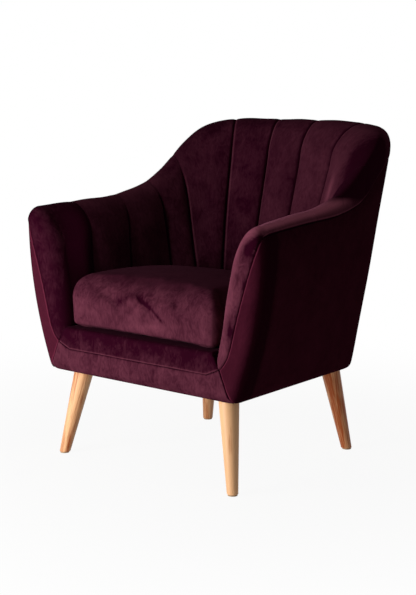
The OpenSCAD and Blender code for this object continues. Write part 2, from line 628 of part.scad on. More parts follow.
// Shaped arm rails: from the front post, along the arm, round to the back post
arm_rail_t = [-40, -26, -12, 0, 10, 20];
module arm_rail(z, h, share, w) {
    zm = z + h / 2;
    mid = concat(
        [let (p = lerp(inner_pt(post_t_mid, zm), outer_pt(post_t_mid, zm), share)) [p[0], post_back_y]],
        [for (t = arm_rail_t) lerp(inner_pt(t, zm), outer_pt(t, zm), share)],
        [[(back_post_x[0] + back_post_x[1]) / 2, post_y(z) - 0.5]]);
    color(frame_wood)
        plank(concat([for (p = mid) p - [w / 2, 0]], reversed([for (p = mid) p + [w / 2, 0]])), z, h);
}
module arm_top_rail() { arm_rail(turn_z, 28, 0.66, 20); }
module arm_lower_rail() { arm_rail(deck_top + 5, 30, 0.62, 16); }

// Elastic webbing
web_w = 50;
web_pitch = 80;
web_rail_gap = 46.7;
web_block_gap = 12.5;
module seat_webbing_long() {
    color("dimgray") for (i = [-2:2]) translate([i * web_pitch - web_w / 2, front_rail_y + 3, long_web_z])
        cube([web_w, rear_rail_y + rail_t - front_rail_y - 6, web_t]);
}
module seat_webbing_cross() {
    first = front_rail_y + rail_t + web_rail_gap;
    last = rear_block_y - web_block_gap - web_w;
    color("dimgray") for (i = [0:4]) let (y = lerp(first, last, i / 4), x = rail_x(y + web_w) - 4)
        translate([-x, y, cross_web_z]) cube([2 * x, web_w, web_t]);
}
module back_webbing() {
    color("dimgray") for (i = [-1:1]) let (x = i * (back_post_x[0] - 76))
        leaning(x - web_w / 2, x + web_w / 2,
            back_rail_z + 4, back_post_top - 6, cross_rail_in - web_t, web_t);
}

// Underside
dust_inset = 30;
module dust_cover() {
    z = base_h + 0.8;
    pts = [for (t = [0, 15, 30, 38, 45, 60, 90]) outer_pt(t, base_h)];
    front_y = -front_d + dust_inset;
    ring = concat([[rail_x(front_y) + side_margin, front_y]], pts);
    inset = [for (p = ring) p - dust_inset * [min(1, p[0] / 60), clamp(p[1] / 100, 0, 1)]];
    color([0.1, 0.1, 0.1]) difference() {
        translate([0, 0, z]) linear_extrude(height = 0.8)
            polygon(concat(inset, reversed([for (p = inset) if (p[0] > 0) [-p[0], p[1]]])));
        both() for (k = [0, 1])
            translate(leg_at(k, z) - [0, 0, 5]) cylinder(h = 10, r = leg_top_d / 2 + 2);
    }
}

channel(4);  // back_channel_right
left() channel(4);  // back_channel_left
channel(5);  // back_channel_centre
channel(3);  // corner_channel_right
left() channel(3);  // corner_channel_left
channel(2);  // arm_channel_rear_right
left() channel(2);  // arm_channel_rear_left
channel(1);  // arm_channel_middle_right
left() channel(1);  // arm_channel_middle_left
channel(0);  // arm_channel_front_right
left() channel(0);  // arm_channel_front_left
arm_wrap();  // arm_wrap_right
left() arm_wrap();  // arm_wrap_left
outside_arm();  // outside_arm_right
left() outside_arm();  // outside_arm_left
outside_back();
front_rail_cover();
front_border_pad();
seat_deck();
seat_cushion();
dust_cover();
front_rail();
rear_rail();
side_rail();  // side_rail_right
left() side_rail();  // side_rail_left
corner_blocks();
arm_post();  // arm_post_right
left() arm_post();  // arm_post_left
arm_top_rail();  // arm_top_rail_right
left() arm_top_rail();  // arm_top_rail_left
arm_lower_rail();  // arm_lower_rail_right
left() arm_lower_rail();  // arm_lower_rail_left
back_post();  // back_post_right
left() back_post();  // back_post_left
back_cross_rail(back_post_top - top_rail_h, back_post_top);  // back_top_rail
back_cross_rail(back_rail_z, back_rail_z + low_rail_h);  // back_lower_rail
seat_webbing_long();
seat_webbing_cross();
back_webbing();
leg(0);  // leg_front_right
left() leg(0);  // leg_front_left
leg(1);  // leg_rear_right
left() leg(1);  // leg_rear_left
hanger_bolts();
tee_nuts();
foot_glides();
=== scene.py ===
"""Channel back armchair: plum velvet over a hardwood frame, a loose seat cushion and four turned legs."""
import math

import bpy
import numpy as np
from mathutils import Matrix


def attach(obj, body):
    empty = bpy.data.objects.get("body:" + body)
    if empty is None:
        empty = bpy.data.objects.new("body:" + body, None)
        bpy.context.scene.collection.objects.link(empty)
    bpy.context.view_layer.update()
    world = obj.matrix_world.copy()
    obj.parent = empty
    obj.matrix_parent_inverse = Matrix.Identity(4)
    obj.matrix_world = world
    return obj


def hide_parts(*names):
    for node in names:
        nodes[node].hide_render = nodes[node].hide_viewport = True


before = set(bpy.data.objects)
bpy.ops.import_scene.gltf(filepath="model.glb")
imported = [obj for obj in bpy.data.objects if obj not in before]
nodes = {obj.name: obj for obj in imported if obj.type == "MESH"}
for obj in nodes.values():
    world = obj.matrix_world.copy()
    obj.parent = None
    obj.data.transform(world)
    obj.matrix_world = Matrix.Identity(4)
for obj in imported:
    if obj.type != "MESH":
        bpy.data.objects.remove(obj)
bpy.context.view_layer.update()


# The studio: a pale floor, pale walls all round, one large softbox close by at the front left, a
# weaker one behind, and a long lens. Both boxes are cloth-fronted lamps, so shadows stay soft.
def linear(colour):
    """A colour written as sRGB hex, turned into the linear values that Blender works in."""
    parts = [int(colour[i:i + 2], 16) / 255 for i in (1, 3, 5)]
    return tuple(c / 12.92 if c <= 0.04045 else ((c + 0.055) / 1.055) ** 2.4 for c in parts) + (1,)


def feed(node, links):
    """Gives a node's inputs what links says: a number, a hex colour, an output, or a node's first output."""
    for key, value in links.items():
        if isinstance(value, bpy.types.Node):
            value = value.outputs[0]
        if isinstance(value, bpy.types.NodeSocket):
            node.id_data.links.new(value, node.inputs[key])
        else:
            node.inputs[key].default_value = linear(value) if isinstance(value, str) else value


def add(tree, kind, links=None, **settings):
    """Adds a node with its settings and feeds its inputs."""
    node = tree.nodes.new(kind)
    for key, value in settings.items():
        setattr(node, key, value)
    feed(node, links or {})
    return node


def new_material(name):
    """A material of that name, with its node tree and its Principled shader."""
    m = bpy.data.materials.new(name)
    m.use_nodes = True
    return m, m.node_tree, m.node_tree.nodes["Principled BSDF"]


def seen_directly(tree):
    """1 for rays that show the room itself: from the camera, a reflection or through glass."""
    path = add(tree, "ShaderNodeLightPath").outputs
    one = add(tree, "ShaderNodeMath", {0: path["Is Camera Ray"], 1: path["Is Glossy Ray"]},
              operation="MAXIMUM")
    return add(tree, "ShaderNodeMath", {0: one, 1: path["Is Transmission Ray"]}, operation="MAXIMUM")


scene = bpy.context.scene
scene.view_settings.view_transform = "Standard"
room = bpy.data.worlds.new("pale room")
scene.world = room
room.use_nodes = True
tree = room.node_tree
tree.nodes.clear()
ambient = add(tree, "ShaderNodeBackground", {"Color": "#f4f1ee", "Strength": 0.16})
walls = add(tree, "ShaderNodeBackground", {"Color": "#ffffff", "Strength": 1.0})
both = add(tree, "ShaderNodeMixShader", {0: seen_directly(tree), 1: ambient, 2: walls})
add(tree, "ShaderNodeOutputWorld", {0: both})


def painted_floor():
    """Matt white floor paint. Near the chair it keeps the soft shadow; further off it is plain white."""
    m, tree, _ = new_material("floor_paint")
    tree.nodes.clear()
    paint = add(tree, "ShaderNodeBsdfDiffuse", {"Color": "#efeeec"})
    white = add(tree, "ShaderNodeEmission", {"Color": "#ffffff", "Strength": 1.0})
    where = add(tree, "ShaderNodeTexCoord").outputs["Object"]
    away = add(tree, "ShaderNodeVectorMath", {0: where}, operation="LENGTH").outputs["Value"]
    share = add(tree, "ShaderNodeMapRange", {"Value": away, "From Min": 0.3, "From Max": 1.6,
                                             "To Min": 0.93, "To Max": 1.0}, interpolation_type="SMOOTHSTEP")
    part = add(tree, "ShaderNodeMath", {0: share, 1: seen_directly(tree)}, operation="MULTIPLY")
    mix = add(tree, "ShaderNodeMixShader", {0: part, 1: paint, 2: white})
    add(tree, "ShaderNodeOutputMaterial", {0: mix})
    return m


floor_half = 15.0
floor_mesh = bpy.data.meshes.new("floor")
corners = [(x * floor_half, y * floor_half, 0) for x, y in ((-1, -1), (1, -1), (1, 1), (-1, 1))]
floor_mesh.from_pydata(corners, [], [(0, 1, 2, 3)])
floor_mesh.materials.append(painted_floor())
floor = bpy.data.objects.new("floor", floor_mesh)
scene.collection.objects.link(floor)


def softbox(name, at, aim, width, watts):
    """A square lamp of that width in metres, turned to face aim."""
    lamp = bpy.data.lights.new(name, "AREA")
    lamp.shape = "SQUARE"
    lamp.size = width
    lamp.energy = watts
    o = bpy.data.objects.new(name, lamp)
    scene.collection.objects.link(o)
    look = np.array(aim, float) - np.array(at, float)
    tilt = math.acos(-look[2] / np.linalg.norm(look))
    o.location = at
    o.rotation_euler = (tilt, 0, math.atan2(look[0], -look[1]) + math.pi)


softbox("key", (-0.5, -1.8, 0.42), (0.05, 0.0, 0.35), 0.95, 29)
softbox("behind", (-1.3, 2.5, 0.45), (0.0, 0.25, 0.45), 1.4, 15)

camera_round, camera_down = 41.43, 9.2
camera = bpy.data.objects.new("camera", bpy.data.cameras.new("camera"))
camera.data.sensor_fit = "VERTICAL"
camera.data.sensor_height = 36
camera.data.lens = 85.9
camera.location = (2.208, -2.563, 0.9225)
camera.rotation_euler = (math.radians(90 - camera_down), 0, math.radians(camera_round))
scene.collection.objects.link(camera)
scene.camera = camera


# The frame: beech rails, posts and glued corner blocks, planed on two faces and left bare, because
# all of it is covered. Joints are glued and dowelled; the grain runs along each piece.
def sawn_beech(name, along):
    """Bare sawn beech: pinkish tan, dry and matt, with fine dark flecks and saw marks across the grain.

    along is the direction of the grain: 0, 1 or 2 for x, y or z. The saw leaves a mark every 2.5 mm."""
    m, tree, shader = new_material(name)
    stretch = [90.0, 90.0, 90.0]
    stretch[along] = 6.0
    sawing = [0.0, 0.0, 0.0]
    sawing[along] = 1 / 0.0025
    where = add(tree, "ShaderNodeTexCoord").outputs["Object"]
    grain = add(tree, "ShaderNodeMapping", {0: where, "Scale": stretch})
    figure = add(tree, "ShaderNodeTexNoise", {"Vector": grain, "Scale": 1.0, "Detail": 5.0})
    colour = add(tree, "ShaderNodeMix", {0: figure, 6: "#b98d5f", 7: "#dcbb8e"}, data_type="RGBA")
    marks = add(tree, "ShaderNodeMapping", {0: where, "Scale": sawing})
    teeth = add(tree, "ShaderNodeTexNoise", {"Vector": marks, "Scale": 1.0, "Detail": 1.0})
    bump = add(tree, "ShaderNodeBump", {"Height": teeth, "Strength": 0.4, "Distance": 0.0004})
    feed(shader, {"Base Color": colour.outputs[2], "Normal": bump, "Roughness": 0.78})
    return m


def dress(names, material):
    """Gives these CAD nodes a material in place of their plain one."""
    for name in names:
        for slot in nodes[name].material_slots:
            slot.material = material


sides = ("_left", "_right")
dress(["front_rail", "rear_rail", "back_top_rail", "back_lower_rail", "corner_blocks"],
      sawn_beech("sawn_beech_across", 0))
dress([rail + side for rail in ("side_rail", "arm_top_rail", "arm_lower_rail") for side in sides],
      sawn_beech("sawn_beech_deep", 1))
dress([post + side for post in ("arm_post", "back_post") for side in sides],
      sawn_beech("sawn_beech_upright", 2))


# Webbing: 50 mm elastic straps, woven over and under each other across the seat, plain on the back,
# stapled to the rails at their ends. Rubber cores in a jute-coloured weave.
front_d, rear_d, rear_rake, base_h, cover_t = 312.5, 191.5, 0.225, 208.0, 6.0
rail_t, rail_h, front_pad_t = 25.0, 64.0, 12.0
rail_z = base_h + cover_t + 0.4
long_web_z = rail_z + rail_h
strap_w, strap_t = 50.0, 1.6
front_rail_y = -front_d + front_pad_t + 0.3
rear_rail_y = rear_d + rear_rake * (rail_z - base_h) - cover_t - 2 - rail_t


def place(name, points, faces, sharp=None):
    """A mesh object from points in millimetres and quads; a quad that ends on one point twice is a triangle.

    Faces point outwards: they are turned if the volume that they close is negative."""
    points = np.asarray(points, float)
    faces = np.asarray(faces)
    a, b, c, d = (points[faces[:, i]] for i in range(4))
    volume = np.einsum("ij,ij->i", a, np.cross(b, c) + np.cross(c, d)).sum()
    faces = faces if volume > 0 else faces[:, ::-1]
    mesh = bpy.data.meshes.new(name)
    mesh.from_pydata((points * 0.001).tolist(), [], [f if f[2] != f[3] else f[:3] for f in faces.tolist()])
    flags = np.ones(len(faces), bool) if sharp is None else ~sharp
    mesh.polygons.foreach_set("use_smooth", flags)
    mesh.update()
    o = bpy.data.objects.new(name, mesh)
    scene.collection.objects.link(o)
    return o


def quads(grid, closed=False):
    """The quads between neighbours in a grid of point numbers, whose rows may close on themselves."""
    if closed:
        grid = np.concatenate([grid, grid[:, :1]], 1)
    return np.stack([grid[:-1, :-1], grid[:-1, 1:], grid[1:, 1:], grid[1:, :-1]], -1).reshape(-1, 4)


def keep(o, name, values):
    """Keeps a number, or three, at each point of a mesh, as the attribute that its material reads."""
    kind, field = ("FLOAT_VECTOR", "vector") if np.ndim(values) == 2 else ("FLOAT", "value")
    o.data.attributes.new(name, kind, "POINT").data.foreach_set(field, np.ravel(values))


def cloth_lines(o, across, along):
    """Keeps each point's place on the flat cloth, in metres, for patterns that follow the cloth."""
    across, along = np.ravel(across), np.ravel(along)
    keep(o, "cloth", np.stack([across, along, 0 * along], -1))


def stands_for(piece, node, material, body="chair"):
    """Gives a finished piece its material and lets it stand for its CAD node, on that node's body."""
    piece.data.materials.append(material)
    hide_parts(node)
    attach(piece, body)


def lerp(a, b, u):
    """From a at u = 0 straight to b at u = 1."""
    return a + (b - a) * u


def unit(u):
    """u kept between 0 and 1."""
    return np.clip(u, 0, 1)


def smooth(u):
    """0 to 1 with a soft start and end."""
    c = unit(u)
    return c * c * (3 - 2 * c)


def elastic_webbing():
    """Woven elastic webbing: dull, ribbed across every 2 mm, with two darker threads along it."""
    m, tree, shader = new_material("elastic_webbing")
    cloth = add(tree, "ShaderNodeAttribute", attribute_name="cloth").outputs["Vector"]
    ribs = add(tree, "ShaderNodeTexWave", {"Vector": cloth, "Scale": 80.0, "Distortion": 0.4},
               wave_type="BANDS", bands_direction="Y")
    threads = add(tree, "ShaderNodeTexWave", {"Vector": cloth, "Scale": 10.0},
                  wave_type="BANDS", bands_direction="X").outputs["Fac"]
    lines = add(tree, "ShaderNodeMapRange", {"Value": threads, "From Min": 0.92, "From Max": 0.97})
    colour = add(tree, "ShaderNodeMix", {0: lines, 6: "#7d7466", 7: "#3a332c"}, data_type="RGBA")
    bump = add(tree, "ShaderNodeBump", {"Height": ribs.outputs["Fac"], "Strength": 0.5, "Distance": 0.0004})
    feed(shader, {"Base Color": colour.outputs[2], "Normal": bump, "Roughness": 0.85})
    return m


webbing = elastic_webbing()


def straps(name, starts, ends, lift, side_way):
    """Flat straps from each start to its end, each as high as lift says for its number and along it.

    The section is a thin rounded oblong of eight points, carried straight along."""
    turn = np.radians(np.array([180, 200, 270, 340, 0, 20, 90, 160]))
    outline = np.stack([np.sign(np.cos(turn)) * np.abs(np.cos(turn)) ** 0.15 * strap_w / 2,
                        np.sin(turn) * strap_t / 2], -1)
    cap_corners = ([0, 1, 2, 3], [0, 3, 4, 7], [4, 5, 6, 7])
    u = np.linspace(0, 1, 61)
    size = (len(u), len(turn))
    points, faces, across, along = [], [], [], []
    for i, (a, b) in enumerate(zip(starts, ends)):
        line = lerp(np.array(a, float), np.array(b, float), u[:, None])
        line[:, 2] += lift(i, u)
        wide = outline[None, :, :1] * np.array(side_way, float)
        points.append((line[:, None] + wide + outline[None, :, 1:] * np.array([0, 0, 1.0])).reshape(-1, 3))
        grid = (np.arange(len(u) * len(turn)) + i * len(u) * len(turn)).reshape(size)
        faces.append(quads(grid, closed=True))
        faces.append(np.array([g[c] for c in cap_corners for g in (grid[0], grid[-1, ::-1])])[:, ::-1])
        across.append(np.broadcast_to(outline[:, 0], size).ravel())
        along.append(np.broadcast_to((u * np.linalg.norm(line[-1] - line[0]))[:, None], size).ravel())
    o = place(name, np.concatenate(points), np.concatenate(faces))
    cloth_lines(o, np.concatenate(across) * 0.001, np.concatenate(along) * 0.001)
    stands_for(o, name, webbing)
    return o


def woven(start, end, crossed, half, odd):
    """How high straps ride in the weave: over one crossed strap, under the next, and in turn strap by strap.

    Each hump is half a strap's thickness high and dies away in half mm. odd is 1 where odd crossings go
    over, and -1 where they go under."""
    def lift(i, u):
        at = lerp(start, end, u)
        near = [smooth(1 - abs(at - c) / half) * (odd if (i + k) % 2 else -odd)
                for k, c in enumerate(crossed)]
        return strap_t / 2 + strap_t / 2 * sum(near)
    return lift


long_x = [-160, -80, 0, 80, 160]
cross_y = [-228.5 + 72 * i + strap_w / 2 for i in range(5)]
long_from, long_to = front_rail_y + 3, rear_rail_y + rail_t - 3
mid_web_z = long_web_z + strap_t / 2
long_straps = straps("seat_webbing_long", [(x, long_from, mid_web_z) for x in long_x],
                     [(x, long_to, mid_web_z) for x in long_x],
                     woven(long_from, long_to, cross_y, 36, 1), (1, 0, 0))

front_hw, rear_hw, pole_y, front_ref_y, rear_ref_y = 294.0, 246.0, 18.5, -288.5, 246.5
base_slope = (front_hw - rear_hw) / (rear_ref_y - front_ref_y)
cross_half = [front_hw - base_slope * (y + strap_w / 2 - front_ref_y) - 14 for y in cross_y]
cross_straps = straps("seat_webbing_cross", [(-h, y, mid_web_z) for h, y in zip(cross_half, cross_y)],
                      [(h, y, mid_web_z) for h, y in zip(cross_half, cross_y)],
                      woven(-240, 240, long_x, 40, -1), (0, 1, 0))

back_h, deck_top = 795.0, 317.0
back_x, back_web_z = (-130, 0, 130), (deck_top + 17, back_h - 91)
back_web_y = [rear_rail_y - 3 + (rear_rake + 0.005) * (z - long_web_z) + 6 - strap_t / 2 for z in back_web_z]
back_straps = straps("back_webbing", [(x, back_web_y[0], back_web_z[0]) for x in back_x],
                     [(x, back_web_y[1], back_web_z[1]) for x in back_x], lambda i, u: 0 * u, (1, 0, 0))


# The deck: a felted foam slab under the loose cushion, covered in plain woven cotton and tacked at
# its edges, which fills the well between the border pad and the channels.
seat_hw, seat_back_y, inner_rake, inner_flare, puff = 237.0, 150.5, 0.25, 0.075, 12.0
back_ref_z = 416.0
cross_web_z = long_web_z + strap_t
deck_z = cross_web_z + strap_t + 0.4
mm_per_deg = 5.2
flare_y, flare_run, seat_power = -23.5, 250, 1.9


def plan(t, a, b, n, slope, flare):
    """One level of the body seen from above, at station t: straight along the arm, then round the back.

    In front of the pole (t below 0) a station is a distance; behind it t is an angle in degrees on a
    superellipse of half width a and depth b. slope narrows it towards the back, flare opens the front."""
    ph = np.radians(np.clip(t, 0, 180))
    r = ((np.abs(np.cos(ph)) / a) ** n + (np.sin(ph) / b) ** n) ** (-1 / n)
    y = pole_y + np.where(t < 0, t * mm_per_deg, r * np.sin(ph))
    x = np.where(t < 0, a, r * np.cos(ph)) * (1 - slope * (y - pole_y) / a)
    return np.stack([x + flare * np.clip((flare_y - y) / flare_run, 0, 9) ** 2, y], -1)


def seat_x(z):
    """Half the seat's width between the arms at height z: it widens evenly upwards."""
    return seat_hw + inner_flare * (z - deck_top)


def seat_y(z):
    """How far back the seat reaches at height z: it leans back evenly."""
    return seat_back_y + inner_rake * (z - back_ref_z)


def inner_plan(t, z):
    """The line of the grooves inside the arms and back at height z: squarer the higher it is.

    Towards the arm's front it also leans outwards above the cushion."""
    power = np.maximum(seat_power, 2 + 0.0034 * (z - back_ref_z))
    p = plan(t, seat_x(z), seat_y(z) - pole_y, power, 0, 0)
    lean = 0.145 * np.maximum(0, z - 334) * smooth((-42 - t) / 16)
    return p + np.stack([lean, 0 * lean], -1)


def with_z(xy, z):
    """Points in the plane, raised to height z."""
    return np.concatenate([xy, np.broadcast_to(z, xy.shape[:-1])[..., None]], -1)


def closed_form(name, rings):
    """A closed form from rings of points, one above another, whose first and last ring close on a point."""
    count, n = rings.shape[:2]
    grid = np.arange(count * n).reshape(count, n)
    nxt = np.roll(grid, -1, 1)
    points = rings.reshape(-1, 3)
    points = np.concatenate([points, points[:n].mean(0)[None], points[-n:].mean(0)[None]])
    low_tip, high_tip = np.full(n, count * n), np.full(n, count * n + 1)
    low = np.stack([nxt[0], grid[0], low_tip, low_tip], -1)
    high = np.stack([grid[-1], nxt[-1], high_tip, high_tip], -1)
    return place(name, points, np.concatenate([quads(grid, closed=True), low, high]))


def deck_cotton():
    """Plain black cotton: matt, with a square weave of 1.2 mm threads, drawn at 2 mm so that it shows."""
    m, tree, shader = new_material("deck_cotton")
    where = add(tree, "ShaderNodeTexCoord").outputs["Object"]
    warp, weft = (add(tree, "ShaderNodeTexWave", {"Vector": where, "Scale": 80.0, "Distortion": 0.3},
                      bands_direction=way).outputs["Fac"] for way in "XY")
    weave = add(tree, "ShaderNodeMath", {0: warp, 1: weft}, operation="MULTIPLY")
    wear = add(tree, "ShaderNodeTexNoise", {"Vector": where, "Scale": 9.0, "Detail": 3.0})
    colour = add(tree, "ShaderNodeMix", {0: wear, 6: "#2a2126", 7: "#3d3238"}, data_type="RGBA")
    bump = add(tree, "ShaderNodeBump", {"Height": weave, "Strength": 0.5, "Distance": 0.0005})
    feed(shader, {"Base Color": colour.outputs[2], "Normal": bump, "Roughness": 0.9})
    return m


deck_front_y, deck_gap = 47.4 - front_d, 0.3 * puff + 1
low_round, top_round, deck_middle = 3, 7, np.array([0, -60.0])
around = np.linspace(0, 180, 61)
deck_back = plan(around, seat_x(deck_z) - deck_gap, seat_y(deck_z) - pole_y - deck_gap, seat_power, 0, 0)
deck_hw = deck_back[0, 0]
deck_side = np.stack([np.full(24, -deck_hw), np.linspace(pole_y, deck_front_y, 25)[1:]], -1)
deck_front = np.stack([np.linspace(-deck_hw, deck_hw, 47)[1:-1], np.full(45, deck_front_y)], -1)
deck_edge = np.concatenate([deck_back, deck_side, deck_front, (deck_side * [-1, 1])[::-1]])
turn = np.radians(np.linspace(0, 90, 6))[:, None]
low_in, low_z = low_round - low_round * np.sin(turn), deck_z + low_round - low_round * np.cos(turn)
top_in, top_z = top_round - top_round * np.cos(turn), deck_top - top_round + top_round * np.sin(turn)
insets = np.concatenate([[[200], [120], [40]], low_in, top_in, [[14], [30], [60], [100], [150], [200]]])
levels = np.concatenate([np.full((3, 1), deck_z), low_z, top_z, np.full((6, 1), deck_top)])
ways = deck_middle - deck_edge
lengths = np.linalg.norm(ways, axis=1)
deck_rings = with_z(deck_edge + ways * np.minimum(insets / lengths, 0.97)[..., None], levels)
hollow = 1.0 + 0.8 * np.sin(deck_rings[..., 0] / 61) * np.sin(deck_rings[..., 1] / 47 + 1)
deck_rings[..., 2] -= np.where(levels > deck_top - 1, 1, 0) * unit((insets - 10) / 60) * hollow
deck = closed_form("seat_deck_pad", deck_rings)
stands_for(deck, "seat_deck", deck_cotton())


# The inside of the arms and back: nine channels of foam and fibre under one velvet cover, sewn down
# along the grooves between them, rolled over the top rail and tacked under the outside cover's edge.
arm_h, arm_flare, rear_flare, outer_n, crest_n = 601.0, 77.0, 50.0, 14, 5.2
roll_in, roll_out, corner_roll, pad_t, sew_gap, core_drop = 83.0, 38.0, 50.0, 22.0, 0.4, 40.0
core_front_y, lean_h, step_t, swell_power, seam_share = 40 - front_d, 354, 22.0, 2.4, 0.0025


def bell(*parts):
    """1 in the middle, dying away on all sides: e to the minus sum of the squares."""
    return np.exp(-sum(u ** 2 for u in parts))


def apart(p, q):
    """The distance from each point of p to its partner in q."""
    return np.linalg.norm(p - q, axis=-1)


def nearer(t):
    """A station counted from the nearer arm, because both halves of the body are alike."""
    return np.where(t > 90, 180 - t, t)


def ease(z):
    """The share of the outward lean that is reached at height z: a parabola that levels off lean_h up."""
    return 1 - (1 - unit((z - base_h) / lean_h)) ** 2


def side_slope(z):
    """How much the outside narrows towards the back, per millimetre between the two reference lines."""
    spread = front_hw + arm_flare * ease(z) - rear_hw - rear_flare * (z - base_h) / (back_h - base_h)
    return spread / (rear_ref_y - front_ref_y)


def side_at_pole(z):
    """Half the outside's width beside the pole, where the arm's straight part ends."""
    return front_hw + arm_flare * ease(z) - side_slope(z) * (pole_y - front_ref_y)


def outer_plan(t, z):
    """The outside of the body at height z: nearly a rectangle with rounded rear corners."""
    return plan(t, side_at_pole(z), rear_d + rear_rake * (z - base_h) - pole_y, outer_n, side_slope(z), 0)


def crest_z(t):
    """Height of the crest: level along the arm, then an S up to the back, and a slight fall at the front.

    The S is a logistic curve about station step_t, gentler below than above."""
    s = nearer(t)
    w = 10.0 - 5.2 * np.tanh((s - step_t) / 45)
    rise = (back_h - arm_h) / (1 + np.exp(-(s - step_t) / w))
    return arm_h + rise - 0.45 * puff - 5 * np.clip((-25 - s) / 39, 0, 2) ** 2


crest_hw = side_at_pole(arm_h) - 16.0
crest_depth = rear_d + rear_rake * (back_h - base_h) - 41 - pole_y
crest_flare = (front_hw + arm_flare - 28.5 - crest_hw) / 1.07


def roll_depth(t):
    """How far below the crest the inside begins to turn over: more at the corners, where it flares."""
    s = nearer(t)
    return roll_in - 8 * unit((s - 5) / 25) + corner_roll * bell((s - 28) / 11)


def outer_roll_depth(t):
    """The same outside, where the rear corners are rounded off near the top."""
    return roll_out + 34 * bell((nearer(t) - 43) / 10)


def body_surface(t, z, side):
    """A point on the inside (side 0) or outside (1) of the body.

    A wall below turns over to the crest in a quarter ellipse."""
    h = np.where(side == 0, roll_depth(t), outer_roll_depth(t))
    q = unit((crest_z(t) - z) / h)
    g = np.sqrt(1 - (1 - q) ** 2)[..., None]
    crest = plan(t, crest_hw, crest_depth, crest_n, 0, crest_flare)
    wall = np.where(np.asarray(side)[..., None] == 0, inner_plan(t, z), outer_plan(t, z))
    p = crest + (wall - crest) * g
    p[..., 1] = np.where(t < 0, pole_y + t * mm_per_deg, p[..., 1])
    return with_z(p, z)


def heart(t, z):
    """The middle of the wall's thickness, towards which padding is measured."""
    low = np.minimum(z, crest_z(t) - core_drop)
    p = (inner_plan(t, low) + outer_plan(t, low)) / 2
    p[..., 1] = np.maximum(p[..., 1], core_front_y)
    return with_z(p, low)


def sink(p, core, depth):
    """Moves points that far in towards core, or out from it where depth is negative."""
    way = core - p
    length = np.maximum(np.linalg.norm(way, axis=-1), 1e-9)
    return p + way * np.minimum(depth / length, 0.85)[..., None]


def seam_drop(t):
    """How far below the crest the outer seam runs: close under it along the arm, lower behind the corner."""
    s = nearer(t)
    return 13 + 40 / (1 + np.exp(-(s - 2) / 9)) + 28 * bell((s - 26) / 12)


def groove(k, rise):
    """Station of the kth groove of the right-hand side, at that share of its height."""
    lines = [-42 + 0 * rise, -16.5 + 0 * rise, 11 - 6 * rise ** 4, 25 - 2.5 * rise ** 4,
             40 + 12 * rise, 70.5 + 6.5 * rise]
    return lines[k] if k < 6 else 180 - lines[5]


def start_z(t):
    """Where the inside begins: beside the deck, or on top of the border pad at the arm's front."""
    return lerp(deck_z, deck_top, smooth((-48.5 - t) / 6))


def quarter(u):
    """The angle of a quarter turn at share u of it."""
    return np.radians(90 * unit(u))


def row_place(w, t):
    """Height and side of row w at station t, and the row's share of the inside's height.

    w runs 0 to 1 up the wall, 1 to 2 by angle over the inner roll, 2 to 3 down to the outer seam."""
    top, low = crest_z(t), start_z(t)
    h = roll_depth(t)
    wall = lerp(low, top - h, unit(w))
    roll = top - h * (1 - np.sin(quarter(w - 1)))
    down = top - seam_drop(t) * unit(w - 2) ** 2
    z = np.where(w <= 1, wall, np.where(w <= 2, roll, down))
    return z, (w > 2).astype(int) + 0 * z.astype(int), np.where(w <= 2, (z - low) / (top - low), 1.0)


def fullness(t, z, side, w):
    """Thickness of the padding over the grooves: pressed in behind the cushion, thinner over the roll."""
    above_cushion = 0.3 + 0.7 * smooth((z - deck_top - 15) / 100)
    below_roll = 0.45 + 0.55 * unit((crest_z(t) - z) / 80)
    return puff * np.where(side == 0, above_cushion * below_roll, 0.45 * (1 - 0.7 * unit(w - 2) ** 2))


def groove_depth(t, z, side):
    """The grooves are full depth on the walls and fade over the roll, where the cover is pulled tight."""
    return np.where(side == 0, lerp(0.3, 1.0, smooth((crest_z(t) - z) / 110)), 0.3)


def tightness(t, w):
    """Over the roll of the arms the cover is pulled tight and the grooves all but vanish."""
    return 1 - 0.95 * smooth((w - 1.1) / 0.5) * smooth((36 - t) / 10)


def uneven(t, z, seed):
    """Slow waves of a millimetre or so, as hand-filled padding has."""
    return (0.7 * np.sin(z / 47 + 1.7 * seed) * np.cos(t / 5.3 + seed)
            + 0.5 * np.sin(z / 21 + t / 3.1 + 2.3 * seed))


def evenly(points, w, count, axis=0):
    """Row numbers (axis 0) or column numbers (1) that space a grid's lines evenly by its mean length.

    The first and last three steps are split finer, because a seam's crease and raised edge are narrow."""
    steps = np.linalg.norm(np.diff(points, axis=axis), axis=-1).mean(1 - axis)
    run = np.concatenate([[0], np.cumsum(steps)])
    w = np.interp(np.linspace(0, run[-1], count), run, np.ravel(w))
    w = np.concatenate([np.linspace(w[0], w[3], 9), w[4:-4], np.linspace(w[-4], w[-1], 9)])
    return np.expand_dims(w, 1 - axis)


